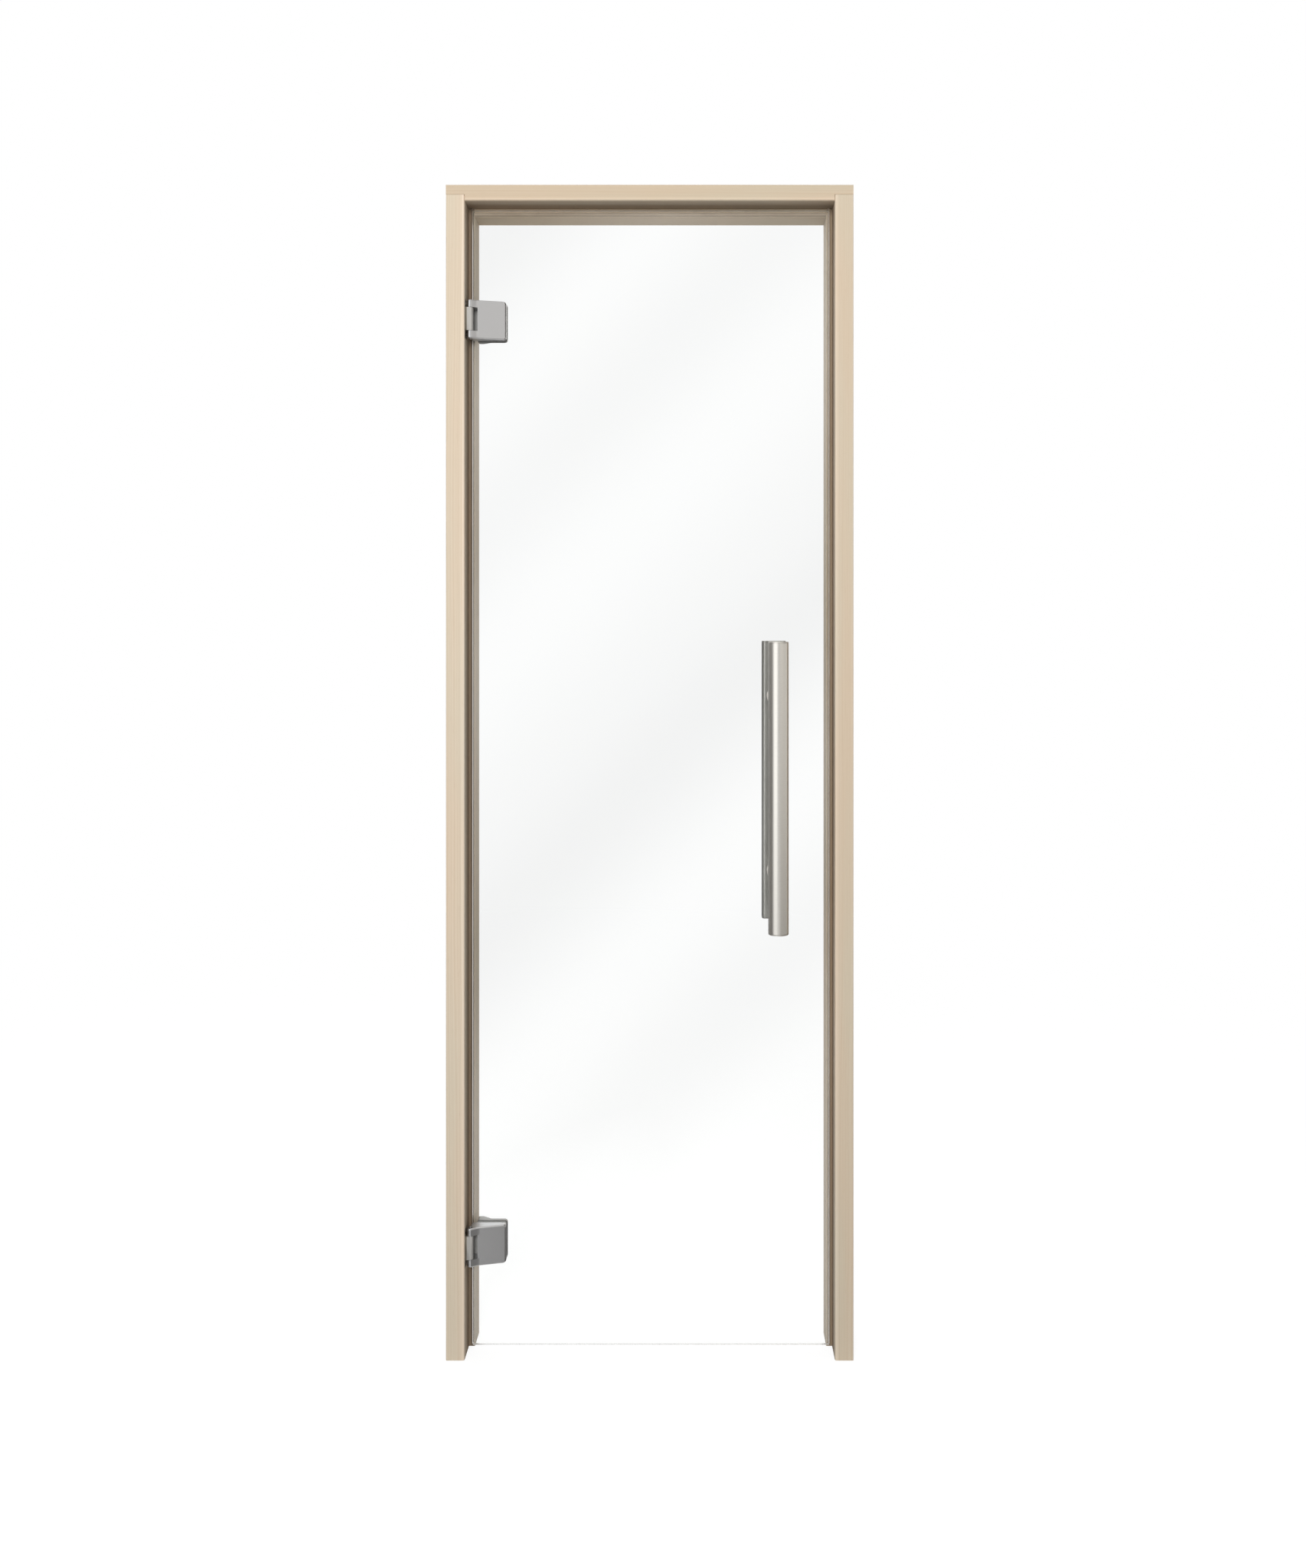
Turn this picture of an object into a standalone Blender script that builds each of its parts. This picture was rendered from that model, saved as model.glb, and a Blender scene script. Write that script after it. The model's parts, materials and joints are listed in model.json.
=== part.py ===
"""Sauna door: a clear glass leaf on two pivot clamp hinges, in a three-sided softwood frame.

Metres, +Z up. The outside of the door faces -Y and the hinges are on the -X side.
The origin is in the middle of the hinge jamb's foot, at floor level.
"""
import math

import bmesh
import bpy
from mathutils import Matrix, Vector

# Clearances
FIT = 0.0003                  # between pieces that seat on each other
CUT_OVERRUN = 0.005           # how far a cutter runs past the face it opens

# Frame
FRAME_WIDTH = 0.690
FRAME_HEIGHT = 1.990
FRAME_DEPTH = 0.092
JAMB_FACE = 0.0315            # front face of a jamb
JAMB_STOP_LIP = 0.0105        # how far a jamb's stop stands past its reveal
HEAD_FACE = 0.027             # front face of the head
HEAD_STOP_LIP = 0.015
HEAD_LAP = 0.017              # height of the head over the jamb tops
REBATE_DEPTH = 0.045          # front face to stop
OUTER_ARRIS = 0.0015
REVEAL_ARRIS = 0.003
STOP_ARRIS = 0.0008

# Sealing strips, each with a tail in a kerf of the stop
SEAL_WIDTH = 0.006
SEAL_THICKNESS = 0.0034
SEAL_CROWN = 0.0015            # rounding of the strip's face
SEAL_EDGE = 0.001             # stop's inner face to the strip
SEAL_TAIL_WIDTH = 0.0022
SEAL_TAIL_DEPTH = 0.0045
SEAL_FLOOR_GAP = 0.002

# Glass
GLASS_THICKNESS = 0.008
GLASS_ARRIS = 0.0008
GLASS_CORNER = 0.003
HINGE_EDGE_GAP = 0.008
LATCH_EDGE_GAP = 0.006
TOP_EDGE_GAP = 0.006
FLOOR_GAP = 0.008

# Hinges
PIVOT_FROM_REVEAL = 0.008
PIVOT_FROM_FRONT = 0.012
UPPER_HINGE_DROP = 0.192      # glass top to hinge centre
LOWER_HINGE_RISE = 0.1785     # glass bottom to hinge centre
HINGE_HEIGHT = 0.066
BARREL_RADIUS = 0.0055
PIN_RADIUS = 0.0025
PIN_RECESS = 0.001
PIN_CHAMFER = 0.0005
KNUCKLE_HEIGHT = 0.039
KNUCKLE_PLAY = 0.0005         # between the knuckle and each lug
KNUCKLE_ROOT = 0.015          # width of the knuckle where it meets its plate
SLOT_WIDTH = 0.0065           # between the knuckle and the outer clamp's body
CLAMP_LENGTH = 0.0590         # pivot to the clamps' free end
CLAMP_CORNER = 0.005
CLAMP_ROUNDING = 0.0022
OUTER_CLAMP_BACK_INSET = 0.0015   # pivot to the outer clamp's rear edge by the reveal
OUTER_CLAMP_SLOT_DROP = 0.0008    # front plane behind the pivot, beside the slot
OUTER_CLAMP_END_THICKNESS = 0.008
INNER_CLAMP_STOP_GAP = 0.005
INNER_CLAMP_ROOT_THICKNESS = 0.0174
INNER_CLAMP_ROOT_LENGTH = 0.009
INNER_CLAMP_SLOPE_LENGTH = 0.014
INNER_CLAMP_END_THICKNESS = 0.0084
GASKET_THICKNESS = 0.001
GASKET_INSET = 0.001
BRACKET_PLATE_THICKNESS = 0.0025
BRACKET_PLATE_WIDTH = 0.0205
BRACKET_SETBACK = 0.0035      # jamb's front face to the plate

# Screws
CLAMP_SCREW_FROM_END = 0.021
CLAMP_SCREW_SPACING = 0.038
CLAMP_SCREW_RADIUS = 0.003
CLAMP_SCREW_HEAD_RADIUS = 0.0047
CLAMP_SCREW_HEAD_HEIGHT = 0.0036
CLAMP_SCREW_HEAD_RECESS = 0.0006
CLAMP_SCREW_SOCKET_RADIUS = 0.0023
CLAMP_SCREW_SOCKET_DEPTH = 0.002
CLAMP_THREAD_DEPTH = 0.0085
CLAMP_GLASS_HOLE_RADIUS = 0.006
WOOD_SCREW_RADIUS = 0.0019
WOOD_SCREW_HEAD_RADIUS = 0.0036
WOOD_SCREW_HEAD_HEIGHT = 0.0018
WOOD_SCREW_LENGTH = 0.022
WOOD_SCREW_TIP = 0.003
WOOD_SCREW_SPACING = 0.053

# Pull handle
HANDLE_FROM_LATCH_EDGE = 0.0915
HANDLE_CENTRE_HEIGHT = 0.9725
HANDLE_LENGTH = 0.489
HANDLE_STAND_OFF = 0.062      # glass face to bar axis, both sides
POST_SPACING = 0.300
POST_RADIUS = 0.010
OUTER_TUBE_RADIUS = 0.017
OUTER_TUBE_WALL = 0.0015
CAP_THICKNESS = 0.002
CAP_SPIGOT = 0.008
CAP_ROUNDING = 0.0008
INNER_BAR_WIDTH = 0.042
INNER_BAR_DEPTH = 0.026
INNER_BAR_CORNER = 0.006
INNER_BAR_WALL = 0.0015
WASHER_RADIUS = 0.016
WASHER_THICKNESS = 0.0025
WASHER_ROUNDING = 0.0008
STUD_RADIUS = 0.004
STUD_REACH = 0.020            # into each post, past the glass face
STUD_CHAMFER = 0.0006
HANDLE_GLASS_HOLE_RADIUS = 0.006

# Facets
FILLET_STEPS = 4
ROUND_STEPS = 32
TUBE_STEPS = 48

# Frame positions that follow from the sizes
JAMB_WIDTH = JAMB_FACE + JAMB_STOP_LIP
LEFT = -JAMB_WIDTH / 2
RIGHT = LEFT + FRAME_WIDTH
FRONT = -FRAME_DEPTH / 2
STOP_FACE = FRONT + REBATE_DEPTH
HINGE_REVEAL = LEFT + JAMB_FACE
LATCH_REVEAL = RIGHT - JAMB_FACE
HEAD_SOFFIT = FRAME_HEIGHT - HEAD_FACE
HEAD_STOP_SOFFIT = HEAD_SOFFIT - HEAD_STOP_LIP
JAMB_TOP = FRAME_HEIGHT - HEAD_LAP

# Glass positions
GLASS_BACK = STOP_FACE - SEAL_THICKNESS - 2 * FIT
GLASS_FRONT = GLASS_BACK - GLASS_THICKNESS
GLASS_LEFT = HINGE_REVEAL + HINGE_EDGE_GAP
GLASS_RIGHT = LATCH_REVEAL - LATCH_EDGE_GAP
GLASS_TOP = HEAD_SOFFIT - TOP_EDGE_GAP

# Hinge positions
PIVOT_X = HINGE_REVEAL + PIVOT_FROM_REVEAL
PIVOT_Y = FRONT + PIVOT_FROM_FRONT
UPPER_HINGE_Z = GLASS_TOP - UPPER_HINGE_DROP
LOWER_HINGE_Z = FLOOR_GAP + LOWER_HINGE_RISE
SEAT = GASKET_THICKNESS + 2 * FIT
OUTER_CLAMP_BACK = GLASS_FRONT - SEAT - PIVOT_Y
INNER_CLAMP_FRONT = GLASS_BACK + SEAT - PIVOT_Y
INNER_CLAMP_LEFT = LEFT + JAMB_WIDTH + INNER_CLAMP_STOP_GAP - PIVOT_X
INNER_CLAMP_BACK = INNER_CLAMP_FRONT + INNER_CLAMP_END_THICKNESS
SLOT_END = BARREL_RADIUS + SLOT_WIDTH
CLAMP_SCREW_X = CLAMP_LENGTH - CLAMP_SCREW_FROM_END
CLAMP_SCREW_HEIGHTS = (CLAMP_SCREW_SPACING / 2, -CLAMP_SCREW_SPACING / 2)
WOOD_SCREW_HEIGHTS = (WOOD_SCREW_SPACING / 2, -WOOD_SCREW_SPACING / 2)
PLATE_MIDDLE = FRONT + BRACKET_SETBACK + BRACKET_PLATE_WIDTH / 2 - PIVOT_Y

# Handle positions
HANDLE_X = GLASS_RIGHT - HANDLE_FROM_LATCH_EDGE
OUTER_TUBE_Y = GLASS_FRONT - HANDLE_STAND_OFF
INNER_BAR_Y = GLASS_BACK + HANDLE_STAND_OFF
POST_HEIGHTS = (HANDLE_CENTRE_HEIGHT + POST_SPACING / 2, HANDLE_CENTRE_HEIGHT - POST_SPACING / 2)

TURN_TO_FRONT = (math.pi / 2, 0.0, 0.0)     # local +Z points at -Y
TURN_TO_BACK = (-math.pi / 2, 0.0, 0.0)     # local +Z points at +Y
TURN_TO_JAMB = (0.0, -math.pi / 2, 0.0)     # local +Z points at -X


def make_material(name, colour, roughness, metallic=0.0, transmission=0.0):
    """A Principled material with a plain colour."""
    material = bpy.data.materials.new(name)
    material.use_nodes = True
    material.diffuse_color = (*colour, 1.0)
    shader = material.node_tree.nodes["Principled BSDF"]
    shader.inputs["Base Color"].default_value = (*colour, 1.0)
    shader.inputs["Roughness"].default_value = roughness
    shader.inputs["Metallic"].default_value = metallic
    shader.inputs["Transmission Weight"].default_value = transmission
    return material


def fillet(previous, corner, following, radius):
    """Points of an arc that rounds one corner of an outline, or the corner itself."""
    here = Vector(corner)
    into = (here - Vector(previous)).normalized()
    out = (Vector(following) - here).normalized()
    turn = math.atan2(into.x * out.y - into.y * out.x, into.dot(out))
    if radius == 0 or abs(turn) < 1e-6:
        return [tuple(here)]
    setback = radius * math.tan(abs(turn) / 2)
    side = math.copysign(1.0, turn)
    centre = here - into * setback + Vector((-into.y, into.x)) * radius * side
    start = here - into * setback - centre
    points = []
    for step in range(FILLET_STEPS + 1):
        angle = turn * step / FILLET_STEPS
        arm = Matrix.Rotation(angle, 2) @ start
        points.append(tuple(centre + arm))
    return points


def rounded(corners):
    """An outline from (u, v, radius) corners."""
    outline = []
    for index, (u, v, radius) in enumerate(corners):
        previous = corners[index - 1][:2]
        following = corners[(index + 1) % len(corners)][:2]
        outline.extend(fillet(previous, (u, v), following, radius))
    return outline


def rectangle(width, height, radius):
    """Corners of a rectangle centred on the outline's origin."""
    u = width / 2
    v = height / 2
    return [(-u, -v, radius), (u, -v, radius), (u, v, radius), (-u, v, radius)]


def prism(outline, low, high):
    """A bmesh prism that carries an XY outline along Z from low to high."""
    solid = bmesh.new()
    base = solid.faces.new([solid.verts.new((u, v, low)) for u, v in outline])
    grown = bmesh.ops.extrude_face_region(solid, geom=[base])
    top = [item for item in grown["geom"] if isinstance(item, bmesh.types.BMVert)]
    bmesh.ops.translate(solid, verts=top, vec=(0.0, 0.0, high - low))
    bmesh.ops.recalc_face_normals(solid, faces=solid.faces)
    return solid


def turned(profile, steps=ROUND_STEPS, ring=False):
    """A bmesh solid: a profile of (radius, height) points spun about Z."""
    solid = bmesh.new()
    points = [solid.verts.new((radius, 0.0, height)) for radius, height in profile]
    pairs = list(zip(points, points[1:]))
    if ring:
        pairs.append((points[-1], points[0]))
    edges = [solid.edges.new(pair) for pair in pairs]
    bmesh.ops.spin(solid, geom=points + edges, cent=(0.0, 0.0, 0.0), axis=(0.0, 0.0, 1.0),
                   angle=2 * math.pi, steps=steps)
    bmesh.ops.remove_doubles(solid, verts=solid.verts, dist=1e-6)
    bmesh.ops.recalc_face_normals(solid, faces=solid.faces)
    return solid


def rod(radius, low, high, chamfer=0.0, steps=ROUND_STEPS):
    """A round bar along Z with chamfered ends."""
    if chamfer == 0:
        return turned([(0.0, low), (radius, low), (radius, high), (0.0, high)], steps)
    profile = [(0.0, low), (radius - chamfer, low), (radius, low + chamfer)]
    profile += [(radius, high - chamfer), (radius - chamfer, high), (0.0, high)]
    return turned(profile, steps)


def to_mesh(name, solid, sharp_angle=math.radians(30)):
    """Turn a bmesh into a mesh with smooth shading between its sharp edges."""
    mesh = bpy.data.meshes.new(name)
    solid.to_mesh(mesh)
    solid.free()
    mesh.shade_smooth()
    mesh.set_sharp_from_angle(angle=sharp_angle)
    return mesh


def place(name, mesh, material, parent, location=(0.0, 0.0, 0.0), rotation=(0.0, 0.0, 0.0)):
    """One named piece, set by its location and rotation under its parent."""
    piece = bpy.data.objects.new(name, mesh)
    bpy.context.scene.collection.objects.link(piece)
    piece.parent = parent
    piece.location = location
    piece.rotation_euler = rotation
    if material is not None and len(mesh.materials) == 0:
        mesh.materials.append(material)
    return piece


def empty(name, location, parent=None):
    """A point that carries the pieces of one assembly."""
    point = bpy.data.objects.new(name, None)
    bpy.context.scene.collection.objects.link(point)
    point.location = location
    point.parent = parent
    return point


def cutter(name, solids, parent, location=(0.0, 0.0, 0.0), rotation=(0.0, 0.0, 0.0)):
    """A hidden tool object made of one or more solids that don't touch."""
    joined = bmesh.new()
    for solid, offset in solids:
        bmesh.ops.translate(solid, verts=solid.verts, vec=offset)
        shell = bpy.data.meshes.new("cutter_shell")
        solid.to_mesh(shell)
        solid.free()
        joined.from_mesh(shell)
        bpy.data.meshes.remove(shell)
    tool = place(name, to_mesh(name, joined), None, parent, location, rotation)
    tool.hide_render = True
    tool.display_type = "WIRE"
    return tool


def boolean(piece, tool, operation="DIFFERENCE"):
    """Cut a piece with a tool, or join the tool to it."""
    modifier = piece.modifiers.new(tool.name, "BOOLEAN")
    modifier.operation = operation
    modifier.solver = "EXACT"
    modifier.object = tool


def block(low, high):
    """A bmesh box between two corners."""
    outline = [(low[0], low[1]), (high[0], low[1]), (high[0], high[1]), (low[0], high[1])]
    return prism(outline, low[2], high[2])


def tangent_angle(point, radius, side):
    """Direction from a circle's centre to where the tangent through a point touches it."""
    reach = math.hypot(*point)
    return math.atan2(point[1], point[0]) + side * math.acos(radius / reach)


def arc(radius, start, end, steps):
    """Points on a circle about the outline's origin, from one angle to another."""
    span = end - start
    angles = [start + span * step / steps for step in range(steps + 1)]
    return [(radius * math.cos(angle), radius * math.sin(angle)) for angle in angles]


def stop_with_kerf(stop_edge, reveal, face):
    """Section points of the stop's sealed face, from the reveal to the stop's inner edge."""
    side = math.copysign(1.0, stop_edge - reveal)
    middle = stop_edge - side * (SEAL_EDGE + SEAL_WIDTH / 2)
    half = SEAL_TAIL_WIDTH / 2 + FIT
    depth = face + SEAL_TAIL_DEPTH + FIT
    return [
        (reveal, face, 0.0),
        (middle - side * half, face, 0.0), (middle - side * half, depth, 0.0),
        (middle + side * half, depth, 0.0), (middle + side * half, face, 0.0),
        (stop_edge, face, STOP_ARRIS),
    ]


def jamb_outline():
    """Section of the hinge jamb, from its outer face at 0 and its front face at 0."""
    corners = [(0.0, 0.0, OUTER_ARRIS), (JAMB_FACE, 0.0, REVEAL_ARRIS)]
    corners += stop_with_kerf(JAMB_WIDTH, JAMB_FACE, REBATE_DEPTH)
    corners += [(JAMB_WIDTH, FRAME_DEPTH, OUTER_ARRIS), (0.0, FRAME_DEPTH, OUTER_ARRIS)]
    return rounded(corners)


def build_jambs(wood, frame):
    """Two rebated jambs, with mortises for the hinge plates in the left one."""
    outline = jamb_outline()
    hinge_jamb = place("hinge_jamb", to_mesh("hinge_jamb", prism(outline, 0.0, JAMB_TOP)),
                       wood, frame, (LEFT, FRONT, 0.0))
    mirrored = [(-u, v) for u, v in outline]
    place("latch_jamb", to_mesh("latch_jamb", prism(mirrored, 0.0, JAMB_TOP)),
          wood, frame, (RIGHT, FRONT, 0.0))
    boolean(hinge_jamb, mortise_cutter(frame))
    boolean(hinge_jamb, pilot_cutter(frame))


def mortise_cutter(frame):
    """The shallow pockets that take the hinge plates flush with the reveal."""
    half_width = BRACKET_PLATE_WIDTH / 2 + FIT
    half_height = HINGE_HEIGHT / 2 + FIT
    bottom = -PIVOT_FROM_REVEAL - BRACKET_PLATE_THICKNESS - FIT
    pockets = []
    for height in (UPPER_HINGE_Z, LOWER_HINGE_Z):
        pocket = block((bottom, PLATE_MIDDLE - half_width, -half_height),
                       (0.0, PLATE_MIDDLE + half_width, half_height))
        pockets.append((pocket, (0.0, 0.0, height)))
    return cutter("mortises", pockets, frame, (PIVOT_X, PIVOT_Y, 0.0))


def pilot_cutter(frame):
    """Holes in the jamb behind the hinge plates, for their wood screws."""
    depth = PIVOT_FROM_REVEAL + WOOD_SCREW_LENGTH + FIT
    holes = []
    for height in (UPPER_HINGE_Z, LOWER_HINGE_Z):
        for rise in WOOD_SCREW_HEIGHTS:
            hole = rod(WOOD_SCREW_RADIUS + FIT, PIVOT_FROM_REVEAL, depth, steps=ROUND_STEPS // 2)
            holes.append((hole, (height + rise, PLATE_MIDDLE, 0.0)))
    return cutter("pilot_holes", holes, frame, (PIVOT_X, PIVOT_Y, 0.0), TURN_TO_JAMB)


def build_head(wood, frame):
    """A rebated head whose ends lap over the jamb tops."""
    corners = [(HEAD_FACE, 0.0, REVEAL_ARRIS)]
    corners += stop_with_kerf(HEAD_FACE + HEAD_STOP_LIP, HEAD_FACE, REBATE_DEPTH)
    corners += [(HEAD_FACE + HEAD_STOP_LIP, FRAME_DEPTH, OUTER_ARRIS),
                (0.0, FRAME_DEPTH, OUTER_ARRIS), (0.0, 0.0, OUTER_ARRIS)]
    outline = [(v, -u) for u, v in rounded(corners)]
    # The section lies in XY and is carried along Z, which the rotation lays along X
    head = place("head", to_mesh("head", prism(outline, 0.0, FRAME_WIDTH)), wood, frame,
                 (LEFT, FRONT, FRAME_HEIGHT), (math.pi / 2, 0.0, math.pi / 2))
    low = HEAD_STOP_SOFFIT - CUT_OVERRUN
    top = JAMB_TOP + FIT
    for name, edge, side in (("hinge_lap", LEFT, 1.0), ("latch_lap", RIGHT, -1.0)):
        outside = -CUT_OVERRUN
        reveal = JAMB_FACE + FIT
        stop = JAMB_WIDTH + FIT
        step = REBATE_DEPTH - FIT
        lap = [(outside, outside), (reveal, outside), (reveal, step), (stop, step),
               (stop, FRAME_DEPTH + CUT_OVERRUN), (outside, FRAME_DEPTH + CUT_OVERRUN)]
        solid = prism([(side * u, v) for u, v in lap], low, top)
        boolean(head, cutter(name, [(solid, (edge, FRONT, 0.0))], frame))


def seal_outline():
    """Section of a sealing strip: a crowned head towards the glass and a tail in the kerf."""
    half = SEAL_WIDTH / 2
    tail = SEAL_TAIL_WIDTH / 2
    return rounded([
        (-half, 0.0, 0.0), (-half, SEAL_CROWN - SEAL_THICKNESS, 0.0),
        (-half / 2, -SEAL_THICKNESS, SEAL_CROWN), (half / 2, -SEAL_THICKNESS, SEAL_CROWN),
        (half, SEAL_CROWN - SEAL_THICKNESS, 0.0), (half, 0.0, 0.0),
        (tail, 0.0, 0.0), (tail, SEAL_TAIL_DEPTH, 0.0),
        (-tail, SEAL_TAIL_DEPTH, 0.0), (-tail, 0.0, 0.0),
    ])


def build_seals(silicone, frame):
    """Three strips on the stop, behind the edges of the glass."""
    middle = JAMB_WIDTH - SEAL_EDGE - SEAL_WIDTH / 2
    top = HEAD_SOFFIT - FIT
    upright = to_mesh("side_seal", prism(seal_outline(), SEAL_FLOOR_GAP, top))
    face = STOP_FACE - FIT
    place("hinge_side_seal", upright, silicone, frame, (LEFT + middle, face, 0.0))
    place("latch_side_seal", upright, silicone, frame, (RIGHT - middle, face, 0.0))
    outline = [(v, u) for u, v in seal_outline()]
    start = JAMB_WIDTH + 2 * FIT
    across = to_mesh("head_seal", prism(outline, start, FRAME_WIDTH - start))
    height = HEAD_STOP_SOFFIT + SEAL_EDGE + SEAL_WIDTH / 2
    place("head_seal", across, silicone, frame, (LEFT, face, height),
          (math.pi / 2, 0.0, math.pi / 2))


def build_glass(glass, leaf):
    """The pane, with holes for the hinge screws and the handle studs."""
    width = GLASS_RIGHT - GLASS_LEFT
    height = GLASS_TOP - FLOOR_GAP
    outline = rounded(rectangle(width, height, GLASS_CORNER))
    pane = place("glass_pane", to_mesh("glass_pane", prism(outline, 0.0, GLASS_THICKNESS)),
                 glass, leaf, (GLASS_LEFT + width / 2 - PIVOT_X, GLASS_BACK - PIVOT_Y,
                               FLOOR_GAP + height / 2), TURN_TO_FRONT)
    arris = pane.modifiers.new("arris", "BEVEL")
    arris.width = GLASS_ARRIS
    arris.segments = 1
    arris.limit_method = "ANGLE"
    arris.angle_limit = math.radians(60)
    low = -CUT_OVERRUN
    high = GLASS_THICKNESS + CUT_OVERRUN
    holes = []
    for hinge in (UPPER_HINGE_Z, LOWER_HINGE_Z):
        for rise in CLAMP_SCREW_HEIGHTS:
            holes.append((rod(CLAMP_GLASS_HOLE_RADIUS, low, high), (CLAMP_SCREW_X, hinge + rise, 0.0)))
    for post in POST_HEIGHTS:
        holes.append((rod(HANDLE_GLASS_HOLE_RADIUS, low, high), (HANDLE_X - PIVOT_X, post, 0.0)))
    boolean(pane, cutter("glass_holes", holes, leaf, (0.0, GLASS_BACK - PIVOT_Y, 0.0), TURN_TO_FRONT))


def round_clamp(solid, seat):
    """Round the clamp's free corners, then every sharp edge off the face that meets the glass."""
    corners = []
    for edge in solid.edges:
        ends = [vertex.co for vertex in edge.verts]
        at_end = all(abs(point.x - CLAMP_LENGTH) < 1e-6 for point in ends)
        if at_end and abs(ends[0].z - ends[1].z) < 1e-6:
            corners.append(edge)
    bmesh.ops.bevel(solid, geom=corners, offset=CLAMP_CORNER, segments=FILLET_STEPS,
                    profile=0.5, affect="EDGES")
    sharp = []
    for edge in solid.edges:
        on_seat = all(abs(vertex.co.y - seat) < 1e-6 for vertex in edge.verts)
        if not on_seat and edge.calc_face_angle(0.0) > math.radians(40):
            sharp.append(edge)
    bmesh.ops.bevel(solid, geom=sharp, offset=CLAMP_ROUNDING, segments=3, profile=0.5,
                    affect="EDGES", clamp_overlap=True)
    return solid


def outer_clamp_mesh(steel, parent):
    """The wedge-shaped outer clamp: a slanted front plate, two lugs and a slot for the knuckle."""
    half = HINGE_HEIGHT / 2
    back = OUTER_CLAMP_BACK
    rear_corner = (OUTER_CLAMP_BACK_INSET, back)
    slot_corner = (SLOT_END, OUTER_CLAMP_SLOT_DROP)
    start = tangent_angle(rear_corner, BARREL_RADIUS, 1.0)
    end = tangent_angle(slot_corner, BARREL_RADIUS, -1.0) + 2 * math.pi
    outline = arc(BARREL_RADIUS, start, end, ROUND_STEPS // 3)
    outline += [slot_corner, (CLAMP_LENGTH, back - OUTER_CLAMP_END_THICKNESS),
                (CLAMP_LENGTH, back), rear_corner]
    body = round_clamp(prism(outline, -half, half), back)
    clamp = place("clamp_body", to_mesh("outer_clamp", body), steel, parent)
    gap = KNUCKLE_HEIGHT / 2 + KNUCKLE_PLAY
    reach = BARREL_RADIUS + CUT_OVERRUN
    slot = block((-reach, -reach, -gap), (SLOT_END, back + CUT_OVERRUN, gap))
    boolean(clamp, cutter("knuckle_slot", [(slot, (0.0, 0.0, 0.0))], parent))
    bore = rod(PIN_RADIUS + FIT, -half - CUT_OVERRUN, half + CUT_OVERRUN)
    boolean(clamp, cutter("lug_bores", [(bore, (0.0, 0.0, 0.0))], parent))
    threads = []
    for rise in CLAMP_SCREW_HEIGHTS:
        hole = rod(CLAMP_SCREW_RADIUS + FIT, -CUT_OVERRUN, CLAMP_THREAD_DEPTH)
        threads.append((hole, (CLAMP_SCREW_X, rise, -back)))
    boolean(clamp, cutter("clamp_threads", threads, parent, rotation=TURN_TO_FRONT))
    return bake(clamp, "outer_clamp")


def inner_clamp_mesh(steel, parent):
    """The inner clamp: thick beside the stop, sloping down to a thin plate, drilled for two screws."""
    half = HINGE_HEIGHT / 2
    left = INNER_CLAMP_LEFT
    front = INNER_CLAMP_FRONT
    root = front + INNER_CLAMP_ROOT_THICKNESS
    slope = left + INNER_CLAMP_ROOT_LENGTH
    outline = [(left, front), (CLAMP_LENGTH, front), (CLAMP_LENGTH, INNER_CLAMP_BACK),
               (slope + INNER_CLAMP_SLOPE_LENGTH, INNER_CLAMP_BACK), (slope, root), (left, root)]
    body = round_clamp(prism(outline, -half, half), front)
    clamp = place("clamp_body", to_mesh("inner_clamp", body), steel, parent)
    drillings = []
    sinkings = []
    seat = INNER_CLAMP_BACK - CLAMP_SCREW_HEAD_RECESS - CLAMP_SCREW_HEAD_HEIGHT - FIT
    for rise in CLAMP_SCREW_HEIGHTS:
        shank = rod(CLAMP_SCREW_RADIUS + FIT, front - CUT_OVERRUN, seat + FIT)
        head = rod(CLAMP_SCREW_HEAD_RADIUS + FIT, seat, root + CUT_OVERRUN)
        drillings.append((shank, (CLAMP_SCREW_X, -rise, 0.0)))
        sinkings.append((head, (CLAMP_SCREW_X, -rise, 0.0)))
    boolean(clamp, cutter("screw_holes", drillings, parent, rotation=TURN_TO_BACK))
    boolean(clamp, cutter("screw_sinkings", sinkings, parent, rotation=TURN_TO_BACK))
    return bake(clamp, "inner_clamp")


def gasket_mesh(rubber, parent, left, name):
    """A thin sheet between a clamp and the glass, lying in XY with its screw holes."""
    low = left + GASKET_INSET
    high = CLAMP_LENGTH - GASKET_INSET
    half = HINGE_HEIGHT / 2 - GASKET_INSET
    corner = CLAMP_CORNER - GASKET_INSET
    outline = rounded([(low, -half, 0.0), (high, -half, corner), (high, half, corner), (low, half, 0.0)])
    sheet = place("gasket_sheet", to_mesh(name, prism(outline, 0.0, GASKET_THICKNESS)), rubber, parent)
    holes = []
    for rise in CLAMP_SCREW_HEIGHTS:
        hole = rod(CLAMP_SCREW_RADIUS + 2 * FIT, -CUT_OVERRUN, GASKET_THICKNESS + CUT_OVERRUN)
        holes.append((hole, (CLAMP_SCREW_X, rise, 0.0)))
    boolean(sheet, cutter("gasket_holes", holes, parent))
    return bake(sheet, name)


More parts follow.
